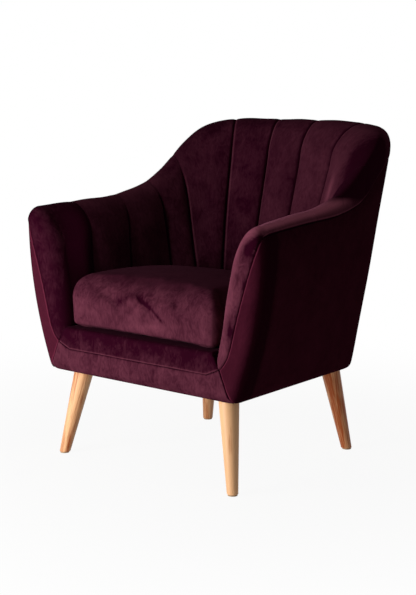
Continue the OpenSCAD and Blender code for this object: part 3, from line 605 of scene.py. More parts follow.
def channel_points(k, w, u, seed, depth=None):
    """The kth channel: a grid between two grooves, swelled between them and creased down at both.

    The swell is 1 - |2u-1|^2.4 of the fullness; the crease is up to 6.5 mm deep and dies away in 3 mm.
    The grooves lean with the height, which depends on the station, so both are settled in four rounds."""
    rise = np.broadcast_to(unit(w / 2), np.broadcast_shapes(w.shape, u.shape))
    for _ in range(4):
        t = lerp(groove(k, rise), groove(k + 1, rise), seam_share + (1 - 2 * seam_share) * u)
        z, side, rise = row_place(w, t)
    p, core = body_surface(t, z, side), heart(t, z)
    if depth is not None:
        return sink(p, core, depth), t, z
    near = np.minimum(u, 1 - u) * apart(p[:, -1:], p[:, :1])
    dip = groove_depth(t, z, side)
    # Swell, slow waves, fine puckers beside the seams, and the drop to the outer seam
    amount = fullness(t, z, side, w) * (1 - dip * np.abs(2 * u - 1) ** swell_power)
    amount = amount + uneven(t, z, seed) * (1 - np.exp(-near / 12))
    amount = amount + 0.5 * np.sin(z / 2.9 + seed) * np.sin(z / 31 + 2 * seed) * np.exp(-near / 7)
    amount = amount - 1.8 * np.exp(-np.maximum(z - crest_z(t) + seam_drop(t), 0) / 4) * (w > 2)
    return sink(p, core, -(amount - (2.5 + 4.0 * dip) * tightness(t, w) * np.exp(-near / 2.8))), t, z


def padded_shell(name, skin, lining):
    """A closed pad from two grids of points of one size: the outer skin and the lining behind it.

    Both become sheets of quads and a rim of quads joins their edges all round."""
    rows, cols = skin.shape[:2]
    n = rows * cols
    grid = np.arange(n).reshape(rows, cols)
    sheet = quads(grid)
    edge = np.concatenate([grid[0, :-1], grid[:-1, -1], grid[-1, :0:-1], grid[:0:-1, 0]])
    after = np.roll(edge, -1)
    rim = np.stack([after, edge, edge + n, after + n], -1)
    faces = np.concatenate([sheet, sheet[:, ::-1] + n, rim])
    return place(name, np.concatenate([skin.reshape(-1, 3), lining.reshape(-1, 3)]), faces,
                 np.arange(len(faces)) >= 2 * len(sheet))


def run_along(points, axis):
    """How far each point lies from the first line of its grid, measured along the grid."""
    steps = np.linalg.norm(np.diff(points, axis=axis), axis=-1)
    return np.concatenate([0 * steps.take([0], axis), np.cumsum(steps, axis)], axis)


def plum_velvet(name, deep, light):
    """Short-pile cotton velvet: dark where the eye looks down the pile, light and mauve where it lies away.

    A per-point attribute says how the pile lies, and it carries painted light and shade as well: painted
    highlights, painted shade and painted seam lines. Patches about 50 mm across and finger marks about 14 by
    30 mm along the cloth come on top, as strong as the attribute mottled says. The colour follows, and goes
    past the light colour where a painted highlight is strong; the sheen weight follows too, as a painted
    sheen. The pile itself is 0.3 mm; its bump is drawn at 2 mm so that it shows."""
    m, tree, shader = new_material(name)
    cloth = add(tree, "ShaderNodeAttribute", attribute_name="cloth").outputs["Vector"]
    lie_and_painted_light = add(tree, "ShaderNodeAttribute", attribute_name="nap").outputs["Fac"]
    mottled = add(tree, "ShaderNodeAttribute", attribute_name="mottled").outputs["Fac"]
    where = add(tree, "ShaderNodeTexCoord").outputs["Object"]
    patches = add(tree, "ShaderNodeTexNoise", {"Vector": where, "Scale": 19.0, "Detail": 4.0,
                                               "Roughness": 0.6, "Distortion": 0.5})
    strokes = add(tree, "ShaderNodeMapping", {0: cloth, "Scale": (70.0, 34.0, 1.0)})
    marks = add(tree, "ShaderNodeTexNoise", {"Vector": strokes, "Scale": 1.0, "Detail": 2.0,
                                             "Roughness": 0.5, "Distortion": 2.2})
    both = add(tree, "ShaderNodeMix", {0: 0.4, 2: patches, 3: marks})
    level = add(tree, "ShaderNodeMath", {0: both, 1: 0.5}, operation="SUBTRACT")
    lift = add(tree, "ShaderNodeMath", {0: level, 1: mottled, 2: lie_and_painted_light}, operation="MULTIPLY_ADD")
    shade = add(tree, "ShaderNodeMapRange", {"Value": lift, "From Min": -0.25, "From Max": 1.75,
                                             "To Max": 2.0})
    colour = add(tree, "ShaderNodeMix", {0: shade, 6: deep, 7: light}, data_type="RGBA", clamp_factor=False)
    # Painted sheen: the sheen weight rises from 0.06 to 1 where the painted light is strong
    painted_sheen = add(tree, "ShaderNodeMapRange", {"Value": lift, "From Min": 0.45, "From Max": 1.05,
                                             "To Min": 0.06, "To Max": 1.0})
    pile_and_shading = add(tree, "ShaderNodeTexNoise", {"Vector": where, "Scale": 480.0, "Detail": 2.0})
    bump = add(tree, "ShaderNodeBump", {"Height": pile_and_shading, "Strength": 0.35, "Distance": 0.0008})
    feed(shader, {"Base Color": colour.outputs[2], "Normal": bump, "Sheen Weight": painted_sheen, "Roughness": 0.9,
                  "Specular IOR Level": 0.0, "Sheen Roughness": 0.35, "Sheen Tint": "#b46d88"})
    return m


def finish_soft(o, material, node, fill, slot="velvet", nap=0.0, mottled=0.45):
    """Gives a padded piece its velvet, its nap with painted light and shade (above 0 is lighter), and its
    place in the frame.

    The nap values and the mottling are given for every point, or for the skin and then used again for the
    lining."""
    count = len(o.data.vertices)
    for name, values in (("nap", np.ravel(nap)), ("mottled", np.ravel(mottled))):
        keep(o, name, np.tile(values, 2) if 2 * len(values) == count else values + np.zeros(count))
    stands_for(o, node, material, "cushion" if node == "seat_cushion" else "chair")


def velvet_pad(material, node, fill, skin, lining, way=1, ending="_pad", **finish):
    """A padded piece from its right-hand skin and lining; way -1 mirrors it to the left.

    Its cloth lines are the skin's own lengths, across from the middle and along."""
    pad = padded_shell(node + ending, skin * [way, 1, 1], lining * [way, 1, 1])
    across = run_along(skin, 1)
    across = across - across.mean(1, keepdims=True) + skin[..., :1].mean()
    cloth_lines(pad, np.tile(across.ravel(), 2) * 0.001, np.tile(run_along(skin, 0).ravel(), 2) * 0.001)
    finish_soft(pad, material, node, fill, **finish)


def seam_shade_and_highlight(dark, lit, bright=0.18):
    """Painted shade and painted highlight at a seam, by distance in millimetres: painted shade in the crease,
    a painted highlight just beside it.
    """
    return bright * bell((lit - 4) / 1.9) - 0.35 * np.exp(-dark / 2.0)


def roll_highlight(w):
    """A painted highlight over the roll of the right arm: strongest just past the crest, dying away faster
    towards the seam.
    """
    return 1.55 * bell((w - 2.4) / np.where(w < 2.4, 0.55, 0.31))


inside_velvet = plum_velvet("plum_velvet", "#2b0617", "#934e61")
whole, sweep_z = np.linspace(0, 3, 241)[:, None], 632
u = lerp(np.linspace(0, 1, 33), 0.5 - 0.5 * np.cos(np.linspace(0, math.pi, 33)), 0.6)[None, :]
# Each channel's first groove, its name, 1 for the right-hand side or -1 for the left, and the lie of its nap
# with painted shade (lower is darker)
channels = [(0, "arm_channel_front_right", 1, -0.12), (0, "arm_channel_front_left", -1, -0.14),
            (1, "arm_channel_middle_right", 1, -0.14), (1, "arm_channel_middle_left", -1, -0.12),
            (2, "arm_channel_rear_right", 1, -0.12), (2, "arm_channel_rear_left", -1, -0.16),
            (3, "corner_channel_right", 1, -0.06), (3, "corner_channel_left", -1, -0.18),
            (4, "back_channel_right", 1, -0.1), (4, "back_channel_left", -1, -0.2),
            (5, "back_channel_centre", 1, -0.15)]
for number, (k, node, way, lie_and_shade) in enumerate(channels):
    rows = evenly(channel_points(k, whole, u, number)[0], whole, 84)
    skin, t, z = channel_points(k, rows, u, number)
    width = apart(skin[:, -1:], skin[:, :1])
    if way > 0:
        # Painted highlight along the arm's roll, painted shade where the crest sweeps up, a painted highlight
        # streak at the corner
        painted_roll_light = roll_highlight(rows) * smooth((sweep_z - z) / 18) * smooth((17 - t) / 9)
        painted_shading = smooth((rows - 1.1) / 0.6) * smooth((z - sweep_z + 20) / 28) * smooth((42 - t) / 14)
        painted_roll_light = painted_roll_light - 0.3 * painted_shading
        painted_roll_light = painted_roll_light + 0.3 * bell((t - 36.5) / 2.6, (z - sweep_z) / 42) * (rows < 2)
    else:
        # A faint painted highlight along the left arm's roll
        painted_roll_light = 0.14 * smooth((rows - 1.3) / 0.5) * smooth((20 - t) / 14)
    # Painted shade in each groove and a painted highlight beside it, on the side that faces the light
    lit_side = u if way < 0 else 1 - u
    lines = seam_shade_and_highlight(np.minimum(u, 1 - u) * width, lit_side * width, 0.32 if k > 2 else 0.06)
    to_end = apart(skin, skin[-1:])
    # All of it, with painted shade and a painted highlight at the outer seam under the roll
    pile_and_shading = lie_and_shade + painted_roll_light + lines * tightness(t, rows) + seam_shade_and_highlight(to_end, to_end + 1.2, 0.45)
    lining = channel_points(k, rows, u, number, pad_t)[0]
    velvet_pad(inside_velvet, node, 0.8, skin, lining, way, nap=pile_and_shading)


# The front of each arm: one velvet panel over foam, which carries the channels' line forward, turns
# over the roll and round the front edge, and is sewn to the outside cover down the arm's face.
inner_round, outer_round, base_round = 40.0, 31.0, 20.0
cross_x, cross_z = seat_hw + 15.7, deck_top - 36
seam_top_z, turn_z, fold_z = arm_h - 28.5, arm_h - 100.5, arm_h - 55.5
knee_z = base_h + base_round
seam_lean = (front_hw + arm_flare - 10 - cross_x) / (seam_top_z - cross_z)
mitre_lean = (front_hw - 18 - cross_x) / (cross_z - knee_z)
front_t, first_t = -(front_d + pole_y) / mm_per_deg, -42.06


def front_seam_x(z):
    """Where the arm's front seam lies: down to the crossing, bowed 12 mm out just over it, then the mitre."""
    above = np.maximum(0, z - cross_z) / 40
    upper = cross_x + seam_lean * (z - cross_z) + 12 * above * np.exp(1 - above)
    lower = cross_x + mitre_lean * (cross_z - z)
    return np.where(z >= cross_z, upper, lower)


def seam_back(z):
    """How far behind the front face the seam lies, where it runs up on to the outer edge's rounding."""
    room = front_hw + arm_flare * ease(z) - front_seam_x(z)
    short = np.clip(outer_round - room, 0, outer_round - 1)
    return outer_round - np.sqrt(outer_round ** 2 - short ** 2)


def round_front(e, m, r, share, v):
    """From the side wall at e to the seam at m: v 0 to 1 round an edge of radius r, 1 to 2 over the face.

    Gives the points, the way gone across, the whole way and the part of it that the rounding takes."""
    room = np.hypot(m[..., 0] - e[..., 0], m[..., 2] - e[..., 2])
    turned = np.minimum(r, room * share)
    angle = np.arccos(1 - turned / r) * unit(v)
    d = np.where(v <= 1, r * (1 - np.cos(angle)), lerp(turned, room, v - 1))
    p = lerp(e, m, np.minimum(d / room, 1)[..., None])
    p[..., 1] = r - np.sqrt(r * r - (r - np.minimum(d, r)) ** 2) - front_d
    return p, d, room, turned


def wrap_points(w, v, seed, depth=None):
    """The wrap: rows as the channels', v 0 to 1 along the side, 1 to 2 round the edge, 2 to 3 over the face.

    Its padding is a channel's, which thins out round the edge; the flat face bulges by 3.2 mm."""
    z_front, _, rise_front = row_place(w, front_t)
    r = lerp(inner_round, outer_round, smooth((rise_front - 0.7) / 0.3))
    t = lerp(first_t, -(front_d + pole_y - r) / mm_per_deg, unit(v)) + 0 * w
    z, side, _ = row_place(w, t)
    p, core = body_surface(t, z, side), heart(t, z)
    below_turn = lerp(cross_z, turn_z, (z_front - deck_top) / (turn_z - deck_top))
    above_turn = lerp(turn_z, fold_z, (z_front - turn_z) / (crest_z(front_t) - turn_z))
    seam_z = np.where(z_front < turn_z, below_turn, above_turn)
    seam_z = np.where(w > 2, lerp(fold_z, seam_top_z, unit(w - 2) ** 2), seam_z) + 0 * t
    m = np.stack([front_seam_x(seam_z) - sew_gap, 0 * seam_z, seam_z], -1)
    q, d, room, turned = round_front(p, m, r, 0.7, v - 1)
    q[..., 1] += seam_back(seam_z) * unit(v - 2) ** 1.5
    core[..., 1] = np.where(v > 1, core_front_y, core[..., 1])
    on_side, on_face = (v <= 1)[..., None], (v > 2)[..., None]
    if depth is not None:
        behind = np.stack([q[..., 0], np.full_like(z, core_front_y), q[..., 2]], -1)
        inside = np.where(on_face, sink(q, behind, depth), sink(q, core, depth))
        return np.where(on_side, sink(p, core, depth), inside)
    u = unit(v)
    full, dip = fullness(t, z, side, w), groove_depth(t, z, side)
    swell = 1 - np.abs(2 * u - 1) ** swell_power
    swell = np.where(u < 0.5, 1 - dip * (1 - swell), 0.85 + 0.15 * swell)
    side_full = full * swell * (1 - 0.3 * u)
    edge_full = full * 0.6 * (1 - unit(d / turned))
    near = np.where(v <= 1, np.inf, room - d)
    start = apart(p, p[:, :1])
    waves = uneven(t, z, seed) * (1 - np.exp(-np.where(v > 1, near, 99) / 14)) * (1 - np.exp(-start / 12))
    pucker = 0.7 * np.sin(z / 3.3 + seed) * np.sin(z / 27 + seed) * np.exp(-near / 7)
    amount = np.where(v <= 1, side_full, edge_full) + waves + pucker
    to_end = apart(q, q[-1:])
    amount = amount - (1.5 * np.exp(-to_end / 4) + 3.2 * np.exp(-to_end / 14) * smooth(v - 0.5)) * (w > 2)
    crease = 3.0 * dip * tightness(t, w) * np.exp(-np.where(v <= 1, start, 99) / 3.5)
    amount = amount - crease - 2.2 * np.exp(-near / 3)
    bulge = np.where(v > 2, 3.2 * np.sin(np.pi * unit(v - 2)) ** 0.8, 0) * smooth((room - turned - 4) / 30)
    moved = np.where(on_side, sink(p, core, -amount), sink(q, core, -amount))
    flat = q - np.stack([0 * z, bulge + amount - edge_full, 0 * z], -1)
    return np.where(on_face, flat, moved)


# Where fingers have brushed the right arm's front, as x, z, half width, half height and how much
finger_marks = [(302, 488, 12, 12, -0.2), (282, 372, 7, 18, -0.26), (322, 474, 6, 20, -0.18),
                (286, 440, 7, 22, 0.12), (268, 330, 7, 26, 0.12), (331, 546, 13, 15, -0.26),
                (346, 562, 12, 13, -0.36), (360, 575, 12, 11, -0.4)]
for seed, node, way in ((21, "arm_wrap_right", 1), (22, "arm_wrap_left", -1)):
    middle_rows = np.linspace(0.1, 1.9, 12)[:, None]
    v = evenly(wrap_points(middle_rows, whole.T, seed), whole, 64, axis=1)
    rows = evenly(wrap_points(whole, v, seed), whole, 96)
    skin = wrap_points(rows, v, seed)
    seam, groove_end = apart(skin, skin[:, -1:]), apart(skin, skin[-1:])
    # Painted shade over all of the left wrap, painted shade and highlight at the seams, and painted shade
    # along the first groove
    pile_and_shading = 0.0 if way > 0 else -0.22
    pile_and_shading = pile_and_shading + seam_shade_and_highlight(np.minimum(seam, groove_end), groove_end + 1.2, 0.45)
    pile_and_shading = pile_and_shading - 0.35 * np.exp(-apart(skin, skin[:, :1]) / 2) * tightness(0, rows)
    if way > 0:
        # Painted highlight round the edge and up over the roll, darker high on the face, and the finger marks
        pile_and_shading = pile_and_shading + 0.3 * bell((v - 1.35) / 0.35)
        high_on_face = smooth((skin[..., 2] - 460) / 90) * smooth((v - 1.4) / 0.6)
        high_on_face = high_on_face * (1 - smooth((rows - 1.5) / 0.4))
        front_roll_highlight = 0.28 * bell((rows - 1.9) / 0.4) * (1 - smooth((v - 1.6) / 0.4))
        wrap_roll_highlight = lerp(roll_highlight(rows) - 0.12, front_roll_highlight, smooth((v - 0.9) / 0.5))
        pile_and_shading = pile_and_shading + (wrap_roll_highlight - 0.12 * high_on_face)
        for x, z, wide, tall, much in finger_marks:
            pile_and_shading = pile_and_shading + much * bell((skin[..., 0] - x) / wide, (skin[..., 2] - z) / tall)
    else:
        # Painted shade on the side that faces inwards, reaching further round the edge the lower it is
        turned_in = 1 - smooth((v - 1.35 + 0.75 * unit((skin[..., 2] - 330) / 240)) / 0.25)
        pile_and_shading = pile_and_shading - 0.38 * turned_in * (1 - smooth((rows - 1.2) / 0.5))
    velvet_pad(inside_velvet, node, 0.8, skin, wrap_points(rows, v, seed, pad_t), way, nap=pile_and_shading,
               mottled=0.9 if way > 0 else 0.5)


# The front below the cushion: a border pad over the rail's top edge, and under it a rail cover with
# slanted ends, turned under the rail and tacked. Both are velvet over 12 mm of wadding.
border_round, border_depth, border_z, edge_power = 9.0, 47.0, deck_top - 51.5, 3.2
border_top_x = seat_hw - 5
border_end_x = border_top_x - 16
tuck_half, tuck_depth = front_hw - 31, 14


def folded_patch(top, bottom, left, right, rows, cols):
    """A patch stretched between four border lines, each given as points, resampled by length.

    It is the sum of the two ruled sheets less the flat sheet through the corners."""
    def line(points, n):
        points = np.array(points, float)
        run = run_along(points, 0)
        s = np.linspace(0, run[-1], n)
        return np.stack([np.interp(s, run, points[:, i]) for i in (0, 1)], -1)
    t, b = line(top, cols)[None], line(bottom, cols)[None]
    l, r = line(left, rows)[:, None], line(right, rows)[:, None]
    x, y = np.linspace(0, 1, cols)[None, :, None], np.linspace(0, 1, rows)[:, None, None]
    corners = lerp(lerp(t[:, :1], t[:, -1:], x), lerp(b[:, :1], b[:, -1:], x), y)
    return lerp(t, b, y) + lerp(l, r, x) - corners


def over_front(s, top_z, low_z, r_top, r_low):
    """A front profile by its length s downwards from top_z: over a rounded top edge, down, and round under.

    s below 0 lies on the top; past the face it turns under by a quarter circle of r_low."""
    quarter_turn = math.pi / 2
    face_top, face_low = top_z - r_top, low_z + r_low
    arc_top = np.clip(s / r_top + quarter_turn, 0, quarter_turn) if r_top else 0 * s
    flat_top = np.minimum(s + r_top * quarter_turn, 0)
    y = np.where(s < 0, r_top - r_top * np.sin(arc_top) - flat_top, 0)
    z = np.where(s < 0, face_top + r_top * np.cos(arc_top), face_top - s)
    past = s - (face_top - face_low)
    arc_low = np.clip(past / r_low, 0, quarter_turn)
    flat_low = np.maximum(past - r_low * quarter_turn, 0)
    y = np.where(past > 0, r_low - r_low * np.cos(arc_low) + flat_low, y)
    z = np.where(past > 0, face_low - r_low * np.sin(arc_low), z)
    return y - front_d, z


def to_ends(flat):
    """The distance from each point of a patch to its nearer end."""
    return np.minimum(apart(flat, flat[:, :1]), apart(flat, flat[:, -1:]))


# The rail cover's outline, as distance across and length down from the deck's height
knee_s = deck_top - knee_z
under = base_round * math.pi / 2
ear = np.array([[cross_x - sew_gap, deck_top - cross_z + sew_gap],
                [border_end_x + sew_gap, deck_top - border_z]])
side_line = [[float(front_seam_x(z)) - sew_gap, deck_top - z]
             for z in np.linspace(cross_z - sew_gap, knee_z, 9)]
for f in (0.25, 0.5, 0.75, 1):
    turned_z = knee_z - base_round * math.sin(math.radians(90 * f))
    wall_x = front_hw - base_round * (1 - math.cos(math.radians(90 * f)) ** (2 / edge_power))
    side_line += [[min(float(front_seam_x(turned_z)), wall_x - 3) - sew_gap, knee_s + under * f]]
side_line = np.array(side_line + [[tuck_half, knee_s + under + tuck_depth]])
top_line = np.concatenate([(ear * [-1, 1]), ear[::-1]])
low_line = np.array([side_line[-1] * [-1, 1], side_line[-1]])
flat = folded_patch(top_line, low_line, side_line * [-1, 1], side_line, 60, 150)
x, s = flat[..., 0], flat[..., 1]
y, z = over_front(s, deck_top, base_h, 0.0, base_round)
aside = np.clip(np.abs(x) - (front_hw - outer_round), 0, outer_round - 1)
y = y + (outer_round - np.sqrt(outer_round ** 2 - aside ** 2)) * smooth((s - knee_s) / 12)
to_top, to_side = apart(flat, flat[:1]), to_ends(flat)
# It stands out from its seams, with creases at them, slow waves, and fine puckers along the upper one
stand = 1.6 * (1 - np.exp(-np.minimum(to_top, to_side) / 9))
stand = stand - 2.0 * np.exp(-to_side / 3) - 0.7 * np.exp(-to_top / 2)
stand = stand + 0.8 * np.sin(x / 43 + 0.6) * np.sin(s / 37) + 0.5 * np.sin(x / 19 + s / 23)
stand = stand + 0.5 * np.sin(x / 3.4) * np.sin(x / 37 + 1) * np.exp(-to_top / 6)
skin = np.stack([x, y - stand * unit((knee_s + 8 - s) / 8), z], -1)
inner_z = np.maximum(z, rail_z - 0.2 - 3 * unit((s - (knee_s + under)) / 10))
lining = np.stack([x * 0.998, np.maximum(y, -front_d + front_pad_t), inner_z], -1)
# Slightly darker all over, painted shade and highlight at the slanted ends, and painted shade along the top
# under the border pad
lie_and_painted_light = -0.05 + seam_shade_and_highlight(to_side, to_side) - 0.2 * np.exp(-to_top / 1.2)
velvet_pad(inside_velvet, "front_rail_cover", 0.8, skin, lining, nap=lie_and_painted_light, mottled=0.9)

# The border pad's outline in the same measures, then over the rounded top edge to the deck
no_floor = -999
half_low, half_top, half_end = border_end_x - sew_gap, border_top_x - sew_gap, cross_x - 2 * sew_gap
reach_back = border_round * math.pi / 2 + border_depth - border_round
end_s = deck_top - cross_z - sew_gap
border_side = [[half_top, -reach_back]]
border_side += [[lerp(half_top, half_end, border_round * (1 - math.cos(a)) / end_s),
                 border_round * (a - math.pi / 2)]
                for a in np.linspace(math.pi / 2, 0, 5)[:0:-1]]
border_side = np.array(border_side + [[half_end, end_s - border_round]])
border_low = np.array([border_side[-1], [half_low, deck_top - border_round - border_z - sew_gap]])
flat = folded_patch(border_side[0] * [[-1, 1], [1, 1]],
                    np.concatenate([border_low * [-1, 1], border_low[::-1]]),
                    border_side * [-1, 1], border_side, 44, 150)
x, s = flat[..., 0], flat[..., 1]
y, z = over_front(s, deck_top, no_floor, border_round, 1.0)
to_low, to_side = apart(flat, flat[-1:]), to_ends(flat)
stand = 1.2 * (1 - np.exp(-np.minimum(to_low, to_side) / 9))
stand = stand - 2.2 * np.exp(-to_side / 3) - 0.7 * np.exp(-to_low / 2)
stand = stand + 0.7 * np.sin(x / 39 + 2) * np.sin(s / 29 + 1) + 0.4 * np.sin(x / 17 - s / 21)
stand = stand + 0.5 * np.sin(x / 3.1) * np.sin(x / 41) * np.exp(-to_low / 6)
tilt = unit(-s / border_round / (math.pi / 2)) * math.pi / 2
skin = np.stack([x, y - stand * np.cos(tilt), z + np.minimum(stand, 0.2) * np.sin(tilt)], -1)
lining_z = np.where(s > 0, z, np.maximum(cross_web_z + 0.4, z - front_pad_t * 1.5))
lining = np.stack([x * 0.998, np.maximum(y, -front_d + front_pad_t), lining_z], -1)
# Painted shade under the cushion's front, a painted highlight along the lower seam and painted shade in the
# corners
painted_shading = -0.26 + 0.07 * smooth((s + 4) / 40) + 0.27 * bell((to_low - 2) / 1.6) - 0.3 * np.exp(-to_side / 2)
velvet_pad(inside_velvet, "front_border_pad", 0.85, skin, lining, ending="_soft", nap=painted_shading,
           mottled=0.65)


# The outside covers: velvet over thin wadding, pulled flat over the frame, sewn under the roll and
# down the arm's front, round the bottom edge and tacked under the rails; one seam at each rear corner.
rear_seam_t, tuck_rise = 45.0, 2.2
rear_foot, rear_lean = np.array([227.0, 195.5]), np.array([-34.0, -30.0])
slit_r, slit_z = 24.3, 240


def cover_place(w, t):
    """Height and inset of row w: 0 to 1 down from the outer seam, 1 to 2 round the bottom, 2 to 3 under.

    The edge is a superellipse of power 3.2, so that the face stays flat nearly to the bottom."""
    top = crest_z(t) - seam_drop(t) - 4 * sew_gap
    angle = quarter(w - 1)
    rounded = knee_z - base_round * np.sin(angle) ** (2 / edge_power) + tuck_rise * unit(w - 2)
    inset = base_round * (1 - np.cos(angle) ** (2 / edge_power)) + tuck_depth * unit(w - 2)
    return np.where(w <= 1, lerp(top, knee_z, unit(w)), rounded), np.where(w <= 1, 0, inset)


def up_to_leg(p, core, inset):
    """The turned-in edge is slit at the rear leg: each line inwards stops where it meets the leg's top."""
    leg = rear_foot + rear_lean * p[..., 2:] / base_h
    way = (core - p)[..., :2]
    way = way / np.linalg.norm(way, axis=-1, keepdims=True)
    gap = leg - p[..., :2]
    aside = np.abs(gap[..., 0] * way[..., 1] - gap[..., 1] * way[..., 0])
    stop = (gap * way).sum(-1) - np.sqrt(np.maximum(slit_r ** 2 - aside ** 2, 0))
    return np.where((aside < slit_r) & (p[..., 2] < slit_z), np.minimum(inset, np.maximum(stop, 0.6)), inset)


def cover_points(w, t, seed, depth=None, seams=()):
    """The outside cover at rows w and stations t, drawn in a little along its seams.

    With a depth it gives the lining: straight in behind the face, and straight up over the part that is
    turned under."""
    z, inset = cover_place(w, t)
    p, core = body_surface(t, z, 1), heart(t, z)
    if depth is not None:
        angle = quarter(w + 0 * z - 1)
        inside = sink(p, core, up_to_leg(p, core, inset + depth * np.cos(angle) ** 1.2))
        inside[..., 2] = inside[..., 2] + (depth - 2) * np.sin(angle)
        return inside
    below = apart(p, p[:1])
    amount = 0.8 * np.sin(z / 71 + seed) * np.sin(p[..., 1] / 83 + seed)
    amount = amount + 0.4 * np.sin(z / 33 - p[..., 1] / 41)
    amount = amount * (1 - np.exp(-below / 30)) * unit((z - base_h - 10) / 40)
    pull = 0.5 * np.sin((p[..., 1] - p[..., 0]) / 4.2 + seed) * np.sin(p[..., 1] / 33 + seed)
    amount = amount + pull * np.exp(-below / 8) - 2.0 * np.exp(-below / 3) * (w < 1.5)
    for seam in seams:
        amount = amount - 1.6 * np.exp(-apart(p, body_surface(seam + 0 * t, z, 1)) / 3)
    return sink(p, core, up_to_leg(p, core, inset - amount))


def strip_points(w, v, seed, depth=None):
    """The cover's front strip: v 0 to 1 round the arm's outer front edge, 1 to 2 over the face to the seam.

    With a depth it gives the lining, as the cover's points do."""
    t = np.full(np.broadcast_shapes(w.shape, v.shape), -(front_d + pole_y - outer_round) / mm_per_deg)
    z, inset = cover_place(w, t)
    tucked = tuck_depth * unit(w - 2)
    core = heart(t, z)
    e = sink(body_surface(t, z, 1), core, inset)
    front_top = crest_z(np.array(front_t)) - seam_drop(np.array(front_t))
    turn = arm_h - 80.5
    seam_z = np.where(z < turn, z, lerp(turn, seam_top_z - 4.5, (z - turn) / (front_top - turn)))
    seam_x = np.minimum(front_seam_x(np.maximum(seam_z, base_h)) + sew_gap, e[..., 0] - 3)
    q, d, room, _ = round_front(e, np.stack([seam_x, 0 * z, seam_z], -1), outer_round, 0.8, v + 0 * z)
    q[..., 1] += np.where(w > 2, inset - tucked, inset) * 0.5 + tucked
    on_face = (v > 1)[..., None]
    if depth is not None:
        target = np.stack([seam_x, np.full_like(z, core_front_y), np.maximum(seam_z, z)], -1)
        angle = quarter(w - 1) + 0 * z
        level = depth * np.cos(angle) ** 1.2
        behind = q + np.stack([0 * level, level, 0 * level], -1)
        turned_in = lerp(sink(q, core, level), sink(q, target, level), unit(v / 0.3)[..., None])
        inside = np.where(on_face, behind, turned_in)
        inside[..., 2] = inside[..., 2] + (depth - 2) * np.sin(angle)
        return inside
    below, near = apart(q, q[:1]), room - d
    amount = -2.0 * np.exp(-near / 3) - 2.0 * np.exp(-below / 3) * (w < 1.5)
    amount = amount + 0.5 * np.sin(z / 3.7 + seed) * np.sin(z / 29) * np.exp(-near / 6)
    amount = amount * unit((z - base_h - 4) / 12)
    target = np.stack([seam_x, np.full_like(z, core_front_y), seam_z], -1)
    flat = q - np.stack([0 * z, amount, 0 * z], -1)
    return np.where(on_face, flat, sink(q, lerp(core, target, unit(v)[..., None]), -amount))


outside_velvet = plum_velvet("plum_velvet_outside", "#260612", "#6c293e")
middle_row, all_v = np.array([[0.45]]), np.linspace(0, 2, 200)[None, :]
for seed, node, way in ((31, "outside_arm_right", 1), (32, "outside_arm_left", -1)):
    rough = np.linspace(rear_seam_t - 0.05, -(front_d + pole_y - outer_round) / mm_per_deg, 400)[None, :]
    t = evenly(cover_points(middle_row, rough, seed), rough, 150, axis=1)[:, :-1]
    v = evenly(strip_points(middle_row, all_v, seed), all_v, 34, axis=1)
    rows = evenly(cover_points(whole, t, seed), whole, 90)
    skin = np.concatenate([cover_points(rows, t, seed, seams=(rear_seam_t,)), strip_points(rows, v, seed)], 1)
    lining = np.concatenate([cover_points(rows, t, seed, cover_t), strip_points(rows, v, seed, cover_t)], 1)
    from_front = skin[..., 1] + front_d
    # Painted light and shade: on the right painted shade round the arm's front edge, on the left a painted
    # highlight just behind it, a painted highlight on the edge itself, painted shade under the roll and a
    # painted highlight beside the seam
    if way > 0:
        painted_shading = -0.04 - 0.6 * bell((from_front - 30) / 23)
    else:
        painted_shading = -0.04 + 0.3 * bell((from_front - 16) / 8)
    painted_shading = painted_shading + 0.16 * bell((from_front - 4) / 9) - 0.12 * np.exp(-apart(skin, skin[:1]) / 60)
    painted_shading = painted_shading + 0.55 * bell((apart(skin, skin[:, -1:]) - 2.4) / 1.3)
    velvet_pad(outside_velvet, node, 0.9, skin, lining, way, slot="velvet_cover", nap=painted_shading)

rough = np.linspace(rear_seam_t + 0.05, 180 - rear_seam_t - 0.05, 300)[None, :]
t = evenly(cover_points(middle_row, rough, 33), rough, 90, axis=1)
rows = evenly(cover_points(whole, t, 33), whole, 110)
skin = cover_points(rows, t, 33, seams=(rear_seam_t, 180 - rear_seam_t))
velvet_pad(outside_velvet, "outside_back", 0.9, skin, cover_points(rows, t, 33, cover_t), slot="velvet_cover",
           nap=-0.1)


# The dust cover: thin black non-woven cloth, tacked flat under the rails and cut out round the legs.
# It is one flat sheet 1.2 mm above the frame's lower edge, a little slack between the rails.
dust_z, dust_t, dust_front_y, dust_rear_y, dust_margin = base_h + 1.2, 0.6, -282.5, 161.0, 30
dust_round_y, hole_r, snap_out, snap_in = 60, 25.5, 2.6, 4.2
front_foot, front_lean = np.array([268.0, -283.5]), np.array([-40.0, 33.0])


def black_nonwoven():
    """Spun-bonded polypropylene: nearly black, matt, with a faint square emboss every 3 mm."""
    m, tree, shader = new_material("black_nonwoven")
    where = add(tree, "ShaderNodeTexCoord").outputs["Object"]
    dots = add(tree, "ShaderNodeTexVoronoi", {"Vector": where, "Scale": 330.0, "Randomness": 0.2})
    fibres = add(tree, "ShaderNodeTexNoise", {"Vector": where, "Scale": 60.0, "Detail": 6.0})
    colour = add(tree, "ShaderNodeMix", {0: fibres, 6: "#1d1b1b", 7: "#2f2c2c"}, data_type="RGBA")
    bump = add(tree, "ShaderNodeBump", {"Height": dots, "Strength": 0.4, "Distance": 0.0003})
    feed(shader, {"Base Color": colour.outputs[2], "Normal": bump, "Roughness": 0.9})
    return m


